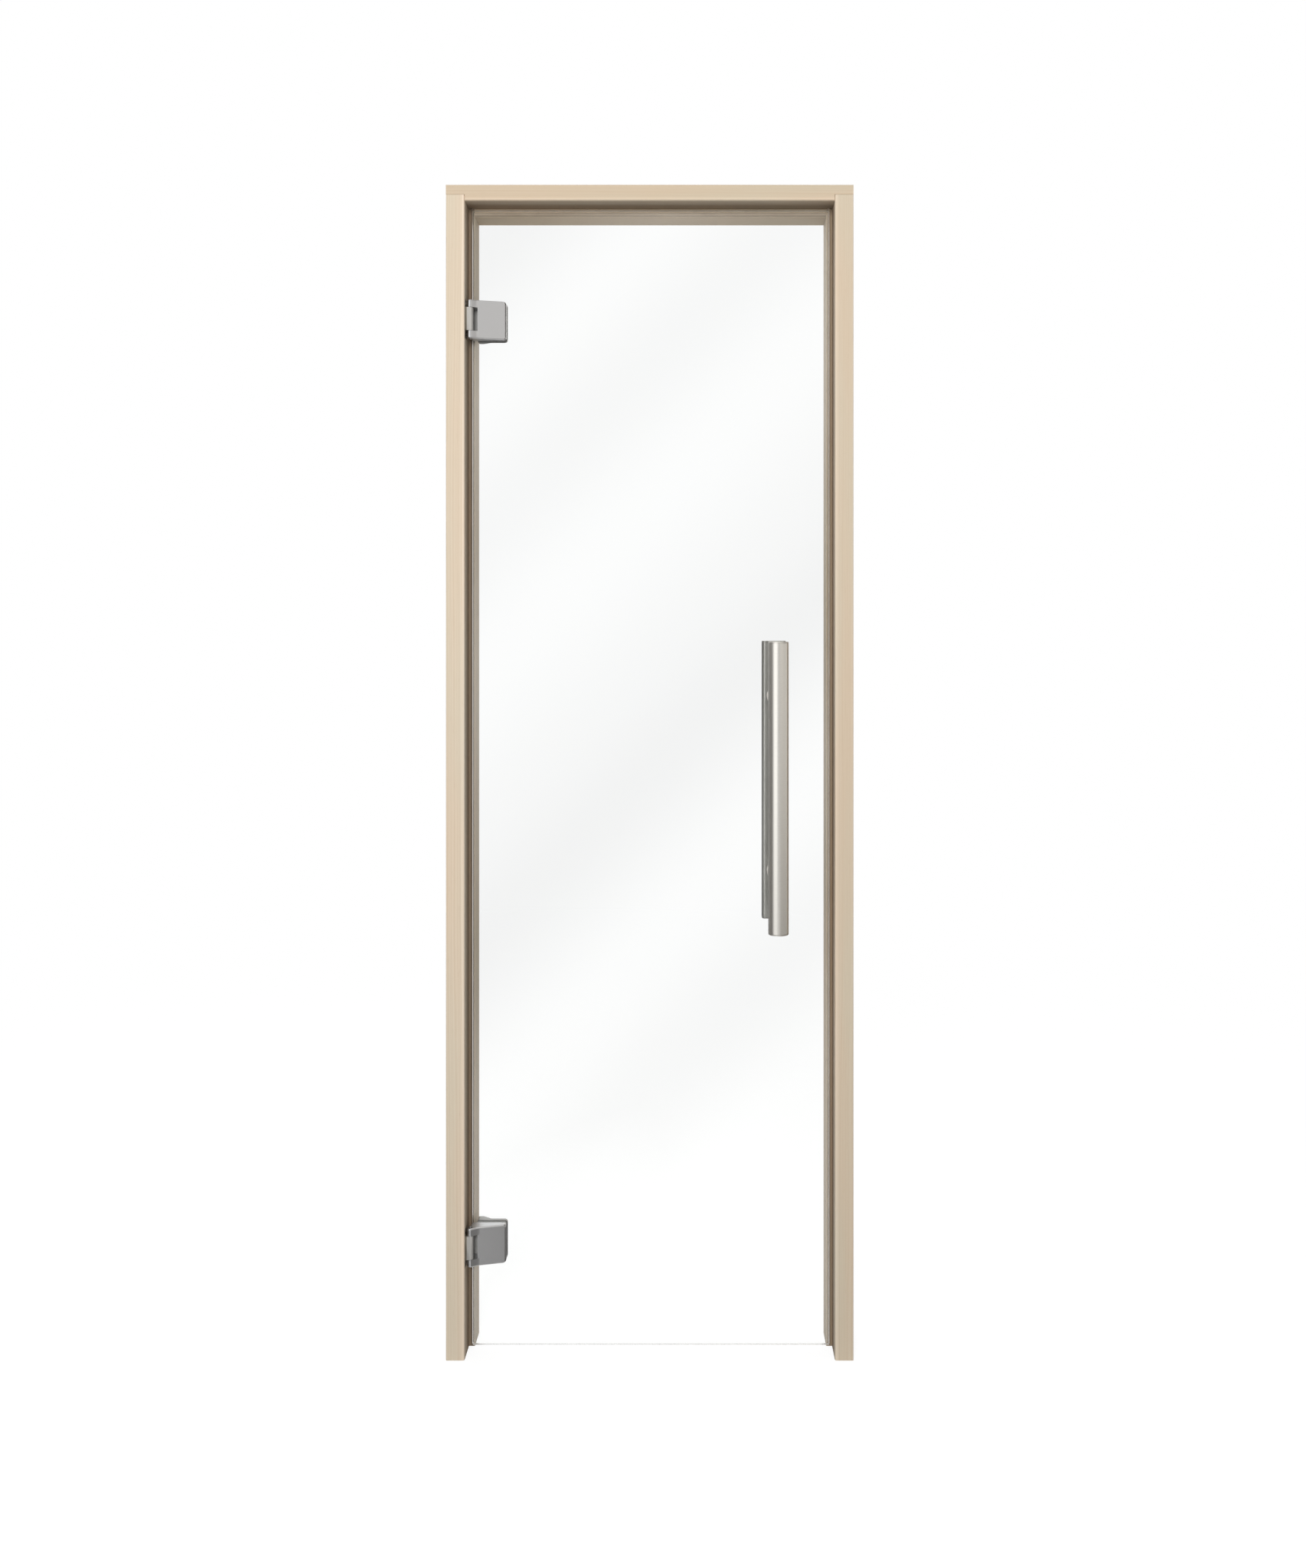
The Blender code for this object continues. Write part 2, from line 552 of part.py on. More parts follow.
def bracket_mesh(steel, parent):
    """The fixed half: a plate let into the jamb and a knuckle that stands out to the pin."""
    half_plate = BRACKET_PLATE_WIDTH / 2
    half = HINGE_HEIGHT / 2
    face = -PIVOT_FROM_REVEAL
    plate = block((face - BRACKET_PLATE_THICKNESS, PLATE_MIDDLE - half_plate, -half),
                  (face, PLATE_MIDDLE + half_plate, half))
    bracket = place("bracket_plate", to_mesh("hinge_bracket", plate), steel, parent)
    root = face - BRACKET_PLATE_THICKNESS / 2
    foot = (root, -KNUCKLE_ROOT / 2)
    start = tangent_angle(foot, BARREL_RADIUS, 1.0)
    outline = arc(BARREL_RADIUS, start, -start, ROUND_STEPS // 3)
    outline += [(root, KNUCKLE_ROOT / 2), foot]
    tall = KNUCKLE_HEIGHT / 2
    knuckle = cutter("knuckle", [(prism(outline, -tall, tall), (0.0, 0.0, 0.0))], parent)
    boolean(bracket, knuckle, "UNION")
    bore = rod(PIN_RADIUS + FIT, -half - CUT_OVERRUN, half + CUT_OVERRUN)
    boolean(bracket, cutter("knuckle_bore", [(bore, (0.0, 0.0, 0.0))], parent))
    sinkings = []
    for rise in WOOD_SCREW_HEIGHTS:
        sinkings.append((wood_screw_solid(FIT, CUT_OVERRUN), (rise, PLATE_MIDDLE, PIVOT_FROM_REVEAL)))
    boolean(bracket, cutter("plate_sinkings", sinkings, parent, rotation=TURN_TO_JAMB))
    return bake(bracket, "hinge_bracket")


def wood_screw_solid(grow=0.0, proud=0.0):
    """A countersunk screw along Z, its flat head at 0 or standing proud, grown on the radius."""
    head = WOOD_SCREW_HEAD_RADIUS + grow
    shank = WOOD_SCREW_RADIUS + grow
    profile = [(0.0, -proud), (head, -proud)]
    if proud > 0:
        profile.append((head, 0.0))
    profile += [(shank, WOOD_SCREW_HEAD_HEIGHT), (shank, WOOD_SCREW_LENGTH - WOOD_SCREW_TIP),
                (0.0, WOOD_SCREW_LENGTH)]
    return turned(profile, ROUND_STEPS // 2)


def clamp_screw_mesh(steel, parent):
    """A cap screw along Z, its head's outer end at 0, with a six-sided socket."""
    tip = INNER_CLAMP_BACK - CLAMP_SCREW_HEAD_RECESS - (OUTER_CLAMP_BACK - CLAMP_THREAD_DEPTH) - FIT
    head = CLAMP_SCREW_HEAD_HEIGHT
    edge = CLAMP_SCREW_HEAD_RADIUS
    profile = [(0.0, 0.0), (edge - PIN_CHAMFER, 0.0), (edge, PIN_CHAMFER), (edge, head),
               (CLAMP_SCREW_RADIUS, head), (CLAMP_SCREW_RADIUS, tip - PIN_CHAMFER),
               (CLAMP_SCREW_RADIUS - PIN_CHAMFER, tip), (0.0, tip)]
    screw = place("screw_blank", to_mesh("clamp_screw", turned(profile)), steel, parent)
    socket = rod(CLAMP_SCREW_SOCKET_RADIUS, -CUT_OVERRUN, CLAMP_SCREW_SOCKET_DEPTH, steps=6)
    boolean(screw, cutter("screw_socket", [(socket, (0.0, 0.0, 0.0))], parent))
    return bake(screw, "clamp_screw")


def bake(piece, name):
    """The piece's mesh with its cuts made, for copies to share; the blank and its tools go."""
    bpy.context.view_layer.update()
    graph = bpy.context.evaluated_depsgraph_get()
    mesh = bpy.data.meshes.new_from_object(piece.evaluated_get(graph))
    mesh.name = name
    tools = [modifier.object for modifier in piece.modifiers if modifier.type == "BOOLEAN"]
    for leftover in [piece] + tools:
        bpy.data.objects.remove(leftover)
    return mesh


def build_hinges(steel, fixings, rubber, frame, leaf):
    """Two alike hinges, each in a fixed half on the jamb and a moving half on the glass."""
    half = HINGE_HEIGHT / 2
    outer = outer_clamp_mesh(steel, leaf)
    inner = inner_clamp_mesh(steel, leaf)
    outer_gasket = gasket_mesh(rubber, leaf, OUTER_CLAMP_BACK_INSET, "outer_gasket")
    inner_gasket = gasket_mesh(rubber, leaf, INNER_CLAMP_LEFT, "inner_gasket")
    bracket = bracket_mesh(steel, frame)
    screw = clamp_screw_mesh(fixings, leaf)
    pin = to_mesh("hinge_pin", rod(PIN_RADIUS, PIN_RECESS - half, half - PIN_RECESS, PIN_CHAMFER))
    wood_screw = to_mesh("wood_screw", wood_screw_solid())
    outer_seat = GLASS_FRONT - FIT - PIVOT_Y
    inner_seat = GLASS_BACK + FIT + GASKET_THICKNESS - PIVOT_Y
    head_end = INNER_CLAMP_BACK - CLAMP_SCREW_HEAD_RECESS
    for name, height in (("upper", UPPER_HINGE_Z), ("lower", LOWER_HINGE_Z)):
        fixed = empty(name + "_hinge_fixed", (PIVOT_X, PIVOT_Y, height), frame)
        moving = empty(name + "_hinge_moving", (0.0, 0.0, height), leaf)
        place(name + "_hinge_bracket", bracket, steel, fixed)
        place(name + "_hinge_pin", pin, fixings, fixed)
        place(name + "_outer_clamp", outer, steel, moving)
        place(name + "_inner_clamp", inner, steel, moving)
        place(name + "_outer_gasket", outer_gasket, rubber, moving, (0.0, outer_seat, 0.0), TURN_TO_FRONT)
        place(name + "_inner_gasket", inner_gasket, rubber, moving, (0.0, inner_seat, 0.0), TURN_TO_FRONT)
        for side, rise in zip(("top", "bottom"), CLAMP_SCREW_HEIGHTS):
            place(f"{name}_clamp_screw_{side}", screw, fixings, moving,
                  (CLAMP_SCREW_X, head_end, rise), TURN_TO_FRONT)
        for side, rise in zip(("top", "bottom"), WOOD_SCREW_HEIGHTS):
            place(f"{name}_wood_screw_{side}", wood_screw, fixings, fixed,
                  (-PIVOT_FROM_REVEAL, PLATE_MIDDLE, rise), TURN_TO_JAMB)


def build_outer_bar(steel, leaf):
    """A hollow tube with a spigot cap in each end."""
    half = HANDLE_LENGTH / 2 - CAP_THICKNESS - FIT
    inside = OUTER_TUBE_RADIUS - OUTER_TUBE_WALL
    wall = [(inside, -half), (OUTER_TUBE_RADIUS, -half), (OUTER_TUBE_RADIUS, half), (inside, half)]
    position = (HANDLE_X - PIVOT_X, OUTER_TUBE_Y - PIVOT_Y, HANDLE_CENTRE_HEIGHT)
    bar = empty("outer_bar", position, leaf)
    place("outer_tube", to_mesh("outer_tube", turned(wall, TUBE_STEPS, ring=True)), steel, bar)
    spigot = inside - FIT
    edge = OUTER_TUBE_RADIUS - CAP_ROUNDING
    profile = [(0.0, -CAP_SPIGOT), (spigot, -CAP_SPIGOT), (spigot, 0.0), (OUTER_TUBE_RADIUS, 0.0),
               (OUTER_TUBE_RADIUS, CAP_THICKNESS - CAP_ROUNDING), (edge, CAP_THICKNESS),
               (0.0, CAP_THICKNESS)]
    cap = to_mesh("tube_cap", turned(profile, TUBE_STEPS))
    end = half + FIT
    place("outer_tube_top_cap", cap, steel, bar, (0.0, 0.0, end))
    place("outer_tube_bottom_cap", cap, steel, bar, (0.0, 0.0, -end), (math.pi, 0.0, 0.0))


def flat_oval(inset):
    """Outline of the inner bar's section, or of a line inside it."""
    return rounded(rectangle(INNER_BAR_WIDTH - 2 * inset, INNER_BAR_DEPTH - 2 * inset,
                             INNER_BAR_CORNER - inset))


def build_inner_bar(brushed, leaf):
    """A flat oval tube with a spigot cap in each end."""
    half = HANDLE_LENGTH / 2 - CAP_THICKNESS - FIT
    position = (HANDLE_X - PIVOT_X, INNER_BAR_Y - PIVOT_Y, HANDLE_CENTRE_HEIGHT)
    bar = empty("inner_bar_assembly", position, leaf)
    tube = place("inner_bar", to_mesh("inner_bar", prism(flat_oval(0.0), -half, half)), brushed, bar)
    hollow = prism(flat_oval(INNER_BAR_WALL), -half - CUT_OVERRUN, half + CUT_OVERRUN)
    boolean(tube, cutter("inner_bar_hollow", [(hollow, (0.0, 0.0, 0.0))], bar))
    cover = prism(flat_oval(0.0), 0.0, CAP_THICKNESS)
    rim = [edge for edge in cover.edges if all(vertex.co.z > CAP_THICKNESS / 2 for vertex in edge.verts)]
    bmesh.ops.bevel(cover, geom=rim, offset=CAP_ROUNDING, segments=1, affect="EDGES")
    lid = place("cap_lid", to_mesh("inner_bar_cap", cover), brushed, bar)
    overlap = CAP_THICKNESS / 2
    spigot = prism(flat_oval(INNER_BAR_WALL + FIT), -CAP_SPIGOT, overlap)
    boolean(lid, cutter("cap_spigot", [(spigot, (0.0, 0.0, 0.0))], bar), "UNION")
    cap = bake(lid, "inner_bar_cap")
    end = half + FIT
    place("inner_bar_top_cap", cap, brushed, bar, (0.0, 0.0, end))
    place("inner_bar_bottom_cap", cap, brushed, bar, (0.0, 0.0, -end), (math.pi, 0.0, 0.0))


def post_mesh(length):
    """A round post along Z with a blind hole for the stud in its foot."""
    bore = STUD_RADIUS + FIT
    depth = STUD_REACH - WASHER_THICKNESS
    profile = [(0.0, depth), (bore, depth), (bore, 0.0), (POST_RADIUS, 0.0),
               (POST_RADIUS, length), (0.0, length)]
    return to_mesh("handle_post", turned(profile))


def build_posts(steel, fixings, leaf):
    """Posts, washers and studs that hold the two bars to the glass and to each other."""
    foot = WASHER_THICKNESS + 2 * FIT
    outer_post = post_mesh(HANDLE_STAND_OFF - foot)
    inner_post = post_mesh(HANDLE_STAND_OFF - INNER_BAR_DEPTH / 2 - FIT - foot)
    bore = STUD_RADIUS + FIT
    rim = WASHER_RADIUS - WASHER_ROUNDING
    ring = [(bore, 0.0), (WASHER_RADIUS, 0.0), (WASHER_RADIUS, WASHER_THICKNESS - WASHER_ROUNDING),
            (rim, WASHER_THICKNESS), (bore, WASHER_THICKNESS)]
    washer = to_mesh("handle_washer", turned(ring, ring=True))
    reach = STUD_REACH - FIT
    stud = to_mesh("handle_stud", rod(STUD_RADIUS, -reach, GLASS_THICKNESS + reach, STUD_CHAMFER))
    front = GLASS_FRONT - PIVOT_Y
    back = GLASS_BACK - PIVOT_Y
    across = HANDLE_X - PIVOT_X
    for name, height in zip(("upper", "lower"), POST_HEIGHTS):
        post = place(f"{name}_outer_post", outer_post, steel, leaf, (across, front - foot, height),
                     TURN_TO_FRONT)
        cope = rod(OUTER_TUBE_RADIUS + FIT, -2 * POST_RADIUS, 2 * POST_RADIUS, steps=TUBE_STEPS)
        saddle = cutter(f"{name}_saddle", [(cope, (0.0, 0.0, 0.0))], leaf,
                        (across, OUTER_TUBE_Y - PIVOT_Y, height))
        boolean(post, saddle)
        place(f"{name}_inner_post", inner_post, steel, leaf, (across, back + foot, height),
              TURN_TO_BACK)
        place(f"{name}_outer_washer", washer, steel, leaf, (across, front - FIT, height),
              TURN_TO_FRONT)
        place(f"{name}_inner_washer", washer, steel, leaf, (across, back + FIT, height),
              TURN_TO_BACK)
        place(f"{name}_handle_stud", stud, fixings, leaf, (across, back, height), TURN_TO_FRONT)


def main():
    for leftover in list(bpy.data.objects):
        bpy.data.objects.remove(leftover)
    wood = make_material("pale_pine", (0.66, 0.56, 0.41), 0.5)
    glass = make_material("clear_glass", (0.93, 0.95, 0.94), 0.02, transmission=1.0)
    silicone = make_material("grey_silicone", (0.55, 0.54, 0.50), 0.6)
    steel = make_material("polished_steel", (0.62, 0.60, 0.57), 0.18, metallic=1.0)
    brushed = make_material("brushed_steel", (0.42, 0.41, 0.40), 0.38, metallic=1.0)
    fixings = make_material("bright_fixings", (0.55, 0.55, 0.54), 0.25, metallic=1.0)
    rubber = make_material("grey_rubber", (0.24, 0.24, 0.23), 0.6)
    frame = empty("frame", (0.0, 0.0, 0.0))
    leaf = empty("leaf_pivot", (PIVOT_X, PIVOT_Y, 0.0))
    build_jambs(wood, frame)
    build_head(wood, frame)
    build_seals(silicone, frame)
    build_glass(glass, leaf)
    build_hinges(steel, fixings, rubber, frame, leaf)
    build_outer_bar(steel, leaf)
    build_inner_bar(brushed, leaf)
    build_posts(steel, fixings, leaf)


main()
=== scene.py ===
# %% [markdown]
# # A sauna door
# A clear glass leaf hangs on two pivot clamp hinges in a pale pine frame, and is pulled open by a steel tube.
# The sizes come from the imported frame, so this lesson only dresses them: it starts by loading that frame.

import json
import math

import bmesh
import bpy
import numpy as np
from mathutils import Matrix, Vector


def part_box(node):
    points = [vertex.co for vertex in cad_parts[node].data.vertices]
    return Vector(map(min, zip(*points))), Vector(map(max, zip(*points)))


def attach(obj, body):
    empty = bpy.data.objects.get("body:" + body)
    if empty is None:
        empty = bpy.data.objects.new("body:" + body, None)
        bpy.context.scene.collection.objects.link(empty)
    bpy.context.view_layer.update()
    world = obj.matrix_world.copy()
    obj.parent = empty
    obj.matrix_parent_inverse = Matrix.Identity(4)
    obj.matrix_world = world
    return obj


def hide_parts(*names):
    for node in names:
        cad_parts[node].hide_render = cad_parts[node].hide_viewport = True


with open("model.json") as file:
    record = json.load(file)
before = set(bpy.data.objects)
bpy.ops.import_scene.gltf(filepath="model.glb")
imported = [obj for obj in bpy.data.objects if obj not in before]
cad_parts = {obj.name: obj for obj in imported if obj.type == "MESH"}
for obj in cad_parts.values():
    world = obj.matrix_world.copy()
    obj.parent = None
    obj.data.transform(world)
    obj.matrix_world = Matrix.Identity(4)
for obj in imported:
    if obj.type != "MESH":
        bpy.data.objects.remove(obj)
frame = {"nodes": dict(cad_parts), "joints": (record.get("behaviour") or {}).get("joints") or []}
scene = bpy.context.scene
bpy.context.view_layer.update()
nodes = frame["nodes"]

# %% [markdown]
# ## The view
# The door is seen straight on, from 7 cm to the right of its middle. The camera stands level, so uprights
# stay upright, and the lens is shifted down instead of tilted. The front of the frame is 2.2 m away.

# %% Camera
CAMERA_PLACE = (0.397, -2.246, 1.241)
LENS = 29.85                     # mm, on a 36 mm sensor
SHIFT_ACROSS = -0.0254
SHIFT_DOWN = -0.100

camera_data = bpy.data.cameras.new("door_camera")
camera_data.lens = LENS
camera_data.shift_x = SHIFT_ACROSS
camera_data.shift_y = SHIFT_DOWN
camera = bpy.data.objects.new("door_camera", camera_data)
camera.location = CAMERA_PLACE
camera.rotation_euler = (math.pi / 2, 0.0, 0.0)
scene.collection.objects.link(camera)
scene.camera = camera
scene.view_settings.view_transform = "Standard"
print("camera stands", round(CAMERA_PLACE[2], 3), "m above the floor")

# %% [markdown]
# ## Writing node trees in code
# Every finish below is a small tree of nodes. A few helpers keep the cells short. The first fills a node's
# inputs, the second adds a node, and the others rest on these two.

# %% Node helpers
WHITE = (1.0, 1.0, 1.0, 1.0)
BLACK = (0.0, 0.0, 0.0, 1.0)


def fill(tree, node, inputs):
    """Fill a node's inputs by name or number: a socket is linked to its input, and a value is set on it."""
    for key, value in inputs.items():
        if isinstance(value, bpy.types.NodeSocket):
            tree.links.new(value, node.inputs[key])
        else:
            node.inputs[key].default_value = value


def add(tree, kind, inputs=None, **settings):
    """Add a node, set its own settings and fill its inputs."""
    node = tree.nodes.new(kind)
    for name, value in settings.items():
        setattr(node, name, value)
    fill(tree, node, inputs or {})
    return node


def blend(tree, amount, first, second, mode="MIX"):
    """Mix two colours by an amount from 0 to 1 and give the result."""
    inputs = {0: amount, 6: first, 7: second}
    return add(tree, "ShaderNodeMix", inputs, data_type="RGBA", blend_type=mode).outputs[2]


def mix_numbers(tree, amount, first, second):
    """Mix two numbers by an amount from 0 to 1 and give the result."""
    return add(tree, "ShaderNodeMix", {0: amount, 2: first, 3: second}, data_type="FLOAT").outputs[0]


def grey(tree, level):
    """A colour with the same level of red, green and blue."""
    return add(tree, "ShaderNodeCombineColor", {0: level, 1: level, 2: level}).outputs[0]


def calculate(tree, operation, *values):
    """One step of arithmetic on numbers or sockets."""
    return add(tree, "ShaderNodeMath", dict(enumerate(values)), operation=operation).outputs[0]


def times(tree, first, second):
    """Two numbers or sockets multiplied."""
    return calculate(tree, "MULTIPLY", first, second)


def plus(tree, first, second):
    """Two numbers or sockets added."""
    return calculate(tree, "ADD", first, second)


def minus(tree, first, second):
    """The first number or socket less the second."""
    return calculate(tree, "SUBTRACT", first, second)


def length(tree, first, second):
    """The square root of the sum of two squares."""
    return calculate(tree, "SQRT", plus(tree, times(tree, first, first), times(tree, second, second)))


def rescale(tree, value, low, high, out_low=0.0, out_high=1.0, smooth=True):
    """Carry a value from one range to another, with soft ends."""
    kind = "SMOOTHSTEP" if smooth else "LINEAR"
    inputs = {0: value, 1: low, 2: high, 3: out_low, 4: out_high}
    return add(tree, "ShaderNodeMapRange", inputs, interpolation_type=kind).outputs[0]


def noise(tree, place, scale, detail, roughness=0.5):
    """Soft random values around 0.5, in patches about as wide as a metre divided by the scale."""
    inputs = {"Vector": place, "Scale": scale, "Detail": detail, "Roughness": roughness}
    return add(tree, "ShaderNodeTexNoise", inputs).outputs[0]


def bump(tree, height, strength, distance):
    """A normal that leans as it would on a relief of this height."""
    inputs = {"Height": height, "Strength": strength, "Distance": distance}
    return add(tree, "ShaderNodeBump", inputs).outputs[0]


def split(tree, vector):
    """The X, Y and Z of a vector."""
    return add(tree, "ShaderNodeSeparateXYZ", {0: vector}).outputs


def ray_history(tree):
    """Two masks: whether a ray has been mirrored, and whether a matt surface has scattered it."""
    path = add(tree, "ShaderNodeLightPath").outputs
    return [calculate(tree, "GREATER_THAN", path[name], 0.5) for name in ("Glossy Depth", "Diffuse Depth")]


def new_group(name, inputs):
    """A node group that takes a place and named numbers and colours, and gives what a finish is made of.

    Given with it are the sockets that bring in its inputs and the node that its results go to.
    """
    group = bpy.data.node_groups.new(name, "ShaderNodeTree")
    group.interface.new_socket(name="Place", in_out="INPUT", socket_type="NodeSocketVector")
    for label, default in inputs.items():
        kind = "NodeSocketFloat" if isinstance(default, float) else "NodeSocketColor"
        group.interface.new_socket(name=label, in_out="INPUT", socket_type=kind).default_value = default
    for label, kind in (("Color", "Color"), ("Roughness", "Float"), ("Height", "Float")):
        group.interface.new_socket(name=label, in_out="OUTPUT", socket_type="NodeSocket" + kind)
    return group, group.nodes.new("NodeGroupInput").outputs, group.nodes.new("NodeGroupOutput")


def new_material(name):
    """A material with one Principled BSDF, given with its tree."""
    material = bpy.data.materials.new(name)
    material.use_nodes = True
    return material, material.node_tree, material.node_tree.nodes["Principled BSDF"]


print("helpers ready")

# %% [markdown]
# ## The studio
# Steel and glass show what stands around them more than any colour of their own. In a photo studio that is a
# white backdrop, a tall soft light to the left, a pale wall to the right that is dark near the floor, and the
# pale room behind the door. The glass also mirrors a few soft grey strips, set at a slant. All of it can be
# painted into the world by direction alone. Only rays that have been mirrored see that painting. The camera,
# and whatever it sees straight through the glass, meets plain white. Matt surfaces get a soft light of their
# own, which is strongest from the room behind and from straight ahead.

# %% World
# Light on matt surfaces: two places along an axis of direction, and the level before and past them
MATT_AHEAD = (-0.90, -0.55, 0.70, 0.16)       # along Y: from straight ahead, and from everywhere else
MATT_BEHIND = (0.30, 0.80)                    # along Y: where light from the room behind comes in
MATT_BEHIND_SIDES = (-0.7, 0.7, 1.19, 0.54)   # across X: how much it adds, which is more on the left
MATT_ABOVE = (0.65, 0.92, 0.0, 0.50)          # up Z: more from overhead

# What metal and glass mirror: two slopes, where 0 is level, and the level below and above them
RIGHT_SIDE = (-0.36, -0.04, 0.10, 0.90)
UPPER_RIGHT = (0.08, 0.20, 0.90, 0.04)
SOFT_LIGHT = (-0.37, -0.24, 0.04, 1.58)
FAR_LEFT = (0.02, 0.20, 0.10, 0.85)
WALL_BEHIND = (-0.15, 0.10, 0.10, 1.25)
FLOOR_BEHIND = (-0.80, -0.42, 0.80, 0.10)
FRONT_FOOT = (-0.46, -0.30, 1.0, 0.0)         # at the backdrop's foot there are no strips
FOOT_GLARE = 0.25                             # and it is brighter than white by this much
OVERHEAD = (1.2, 2.5)                         # the slopes between which the ceiling comes in
OVERHEAD_LEVEL = 1.0
UNDERFOOT = (-0.75, -1.30)                    # and those between which the floor does
UNDERFOOT_LEVEL = 0.75
LEFT_TINT = (1.0, 1.0, 0.99, 1.0)
RIGHT_TINT = (1.0, 0.97, 0.92, 1.0)
# Slanted grey strips that the glass mirrors: place across the slant, half width, depth
STRIPS = ((-0.456, 0.125, 0.95), (-0.238, 0.105, 0.55), (-0.03, 0.09, 0.35),
          (0.075, 0.135, 1.0), (0.325, 0.11, 0.60))
LEAST_AHEAD = 0.02                            # above 0, because across and up are divided by it

world = bpy.data.worlds.new("studio")
scene.world = world
world.use_nodes = True
tree = world.node_tree
tree.nodes.clear()
across, along, up = split(tree, add(tree, "ShaderNodeTexCoord").outputs["Generated"])
ahead = times(tree, along, -1.0)
slope = calculate(tree, "DIVIDE", up, length(tree, across, along))
# Azimuth is 0 straight out in front of the door, and positive to the right
azimuth = calculate(tree, "ARCTAN2", across, ahead)
forward = calculate(tree, "MAXIMUM", ahead, LEAST_AHEAD)
slant = minus(tree, calculate(tree, "DIVIDE", across, forward), calculate(tree, "DIVIDE", up, forward))

front = 1.0
for place, half_width, depth in STRIPS:
    distance = calculate(tree, "ABSOLUTE", minus(tree, slant, place))
    front = times(tree, front, rescale(tree, distance, 0.0, half_width, 1.0 - depth, 1.0))
foot = rescale(tree, slope, *FRONT_FOOT)
front = calculate(tree, "MAXIMUM", front, foot)
front = plus(tree, front, times(tree, foot, FOOT_GLARE))

right_side = rescale(tree, slope, *RIGHT_SIDE)
upper_right = calculate(tree, "MINIMUM", right_side, rescale(tree, slope, *UPPER_RIGHT))
behind = calculate(tree, "MAXIMUM", rescale(tree, slope, *WALL_BEHIND), rescale(tree, slope, *FLOOR_BEHIND))
# Each part covers the ones before it: the azimuths in degrees where it begins and is full, and its level
ROOM = ((8, 13, right_side), (48, 62, upper_right), (-9, -17, rescale(tree, slope, *SOFT_LIGHT)),
        (-50, -76, rescale(tree, slope, *FAR_LEFT)), (-150, -168, behind), (140, 165, behind))
level = front
for begins, full, part in ROOM:
    amount = rescale(tree, azimuth, math.radians(begins), math.radians(full))
    level = mix_numbers(tree, amount, level, part)
level = mix_numbers(tree, rescale(tree, slope, *OVERHEAD), level, OVERHEAD_LEVEL)
level = mix_numbers(tree, rescale(tree, slope, *UNDERFOOT), level, UNDERFOOT_LEVEL)
warm_side = rescale(tree, azimuth, math.radians(8), math.radians(20))
mirrored = blend(tree, 1.0, grey(tree, level), blend(tree, warm_side, LEFT_TINT, RIGHT_TINT), "MULTIPLY")

from_behind = times(tree, rescale(tree, along, *MATT_BEHIND), rescale(tree, across, *MATT_BEHIND_SIDES))
matt_light = plus(tree, rescale(tree, along, *MATT_AHEAD), from_behind)
matt_light = plus(tree, matt_light, rescale(tree, up, *MATT_ABOVE))

was_mirrored, was_scattered = ray_history(tree)
seen = blend(tree, was_mirrored, WHITE, mirrored)
seen = blend(tree, was_scattered, seen, grey(tree, matt_light))
background = add(tree, "ShaderNodeBackground", {0: seen, 1: 1.0})
add(tree, "ShaderNodeOutputWorld", {0: background.outputs[0]})
print("studio with", len(STRIPS), "slanted strips")

# %% [markdown]
# ## Lamp and floor
# One large soft lamp stands in front, high and a little to the left, so both reveals fall into shade as they
# do on the real frame. The floor is white paper: most of what the camera sees of it is its own white, and the
# rest is lit, which leaves a faint shadow. Mirrored rays pass through it to the studio painted above. Matt
# surfaces meet a dark floor in front of the door, and a pale one inside that throws more light back.

# %% Lamp
LAMP_PLACE = (0.0, -4.2, 2.35)
LAMP_AIM = (0.33, 0.0, 1.1)
LAMP_SIZE = 1.6
LAMP_POWER = 131.0
LAMP_COLOUR = (1.0, 0.99, 0.97)

lamp_data = bpy.data.lights.new("soft_lamp", "AREA")
lamp_data.shape = "SQUARE"
lamp_data.size = LAMP_SIZE
lamp_data.energy = LAMP_POWER
lamp_data.color = LAMP_COLOUR
lamp = bpy.data.objects.new("soft_lamp", lamp_data)
lamp.location = LAMP_PLACE
aim = np.subtract(LAMP_AIM, LAMP_PLACE)
lamp.rotation_euler = (math.atan2(math.hypot(aim[0], aim[1]), -aim[2]), 0.0, math.atan2(-aim[0], aim[1]))
# The lamp itself isn't seen in metal, nor through the glass
lamp.visible_glossy = False
lamp.visible_transmission = False
scene.collection.objects.link(lamp)
print("lamp is", round(float(np.linalg.norm(aim)), 2), "m from the door")

# %% Floor
FLOOR_HALF = 8.0
FLOOR_DROP = 0.0003              # a hair below the jambs' feet
FLOOR_GLOW = 0.86                # the paper's own white near the door
FLOOR_LIT = (0.22, 0.22, 0.22, 1.0)   # and what takes the lamp's light and shadow
FLOOR_FADE = (1.2, 3.5)          # metres out, between which it turns to plain white
BOUNCE_CHANGE = (-0.2, 0.3)      # along Y, between the floor outside and the one inside
BOUNCE_OUTSIDE = (0.12, 0.12, 0.12, 1.0)
BOUNCE_INSIDE = (0.85, 0.84, 0.82, 1.0)

floor_mesh = bpy.data.meshes.new("paper_floor")
floor_corners = FLOOR_HALF * np.array([(-1, -1), (1, -1), (1, 1), (-1, 1)])
floor_mesh.from_pydata([(x, y, -FLOOR_DROP) for x, y in floor_corners], [], [(0, 1, 2, 3)])
floor = bpy.data.objects.new("paper_floor", floor_mesh)
scene.collection.objects.link(floor)
paper = bpy.data.materials.new("white_paper")
paper.use_nodes = True
tree = paper.node_tree
tree.nodes.clear()
floor_place = add(tree, "ShaderNodeTexCoord").outputs["Object"]
far_out = add(tree, "ShaderNodeVectorMath", {0: floor_place}, operation="LENGTH").outputs["Value"]
far_out = rescale(tree, far_out, *FLOOR_FADE)
lit = add(tree, "ShaderNodeBsdfDiffuse", {0: blend(tree, far_out, FLOOR_LIT, BLACK)})
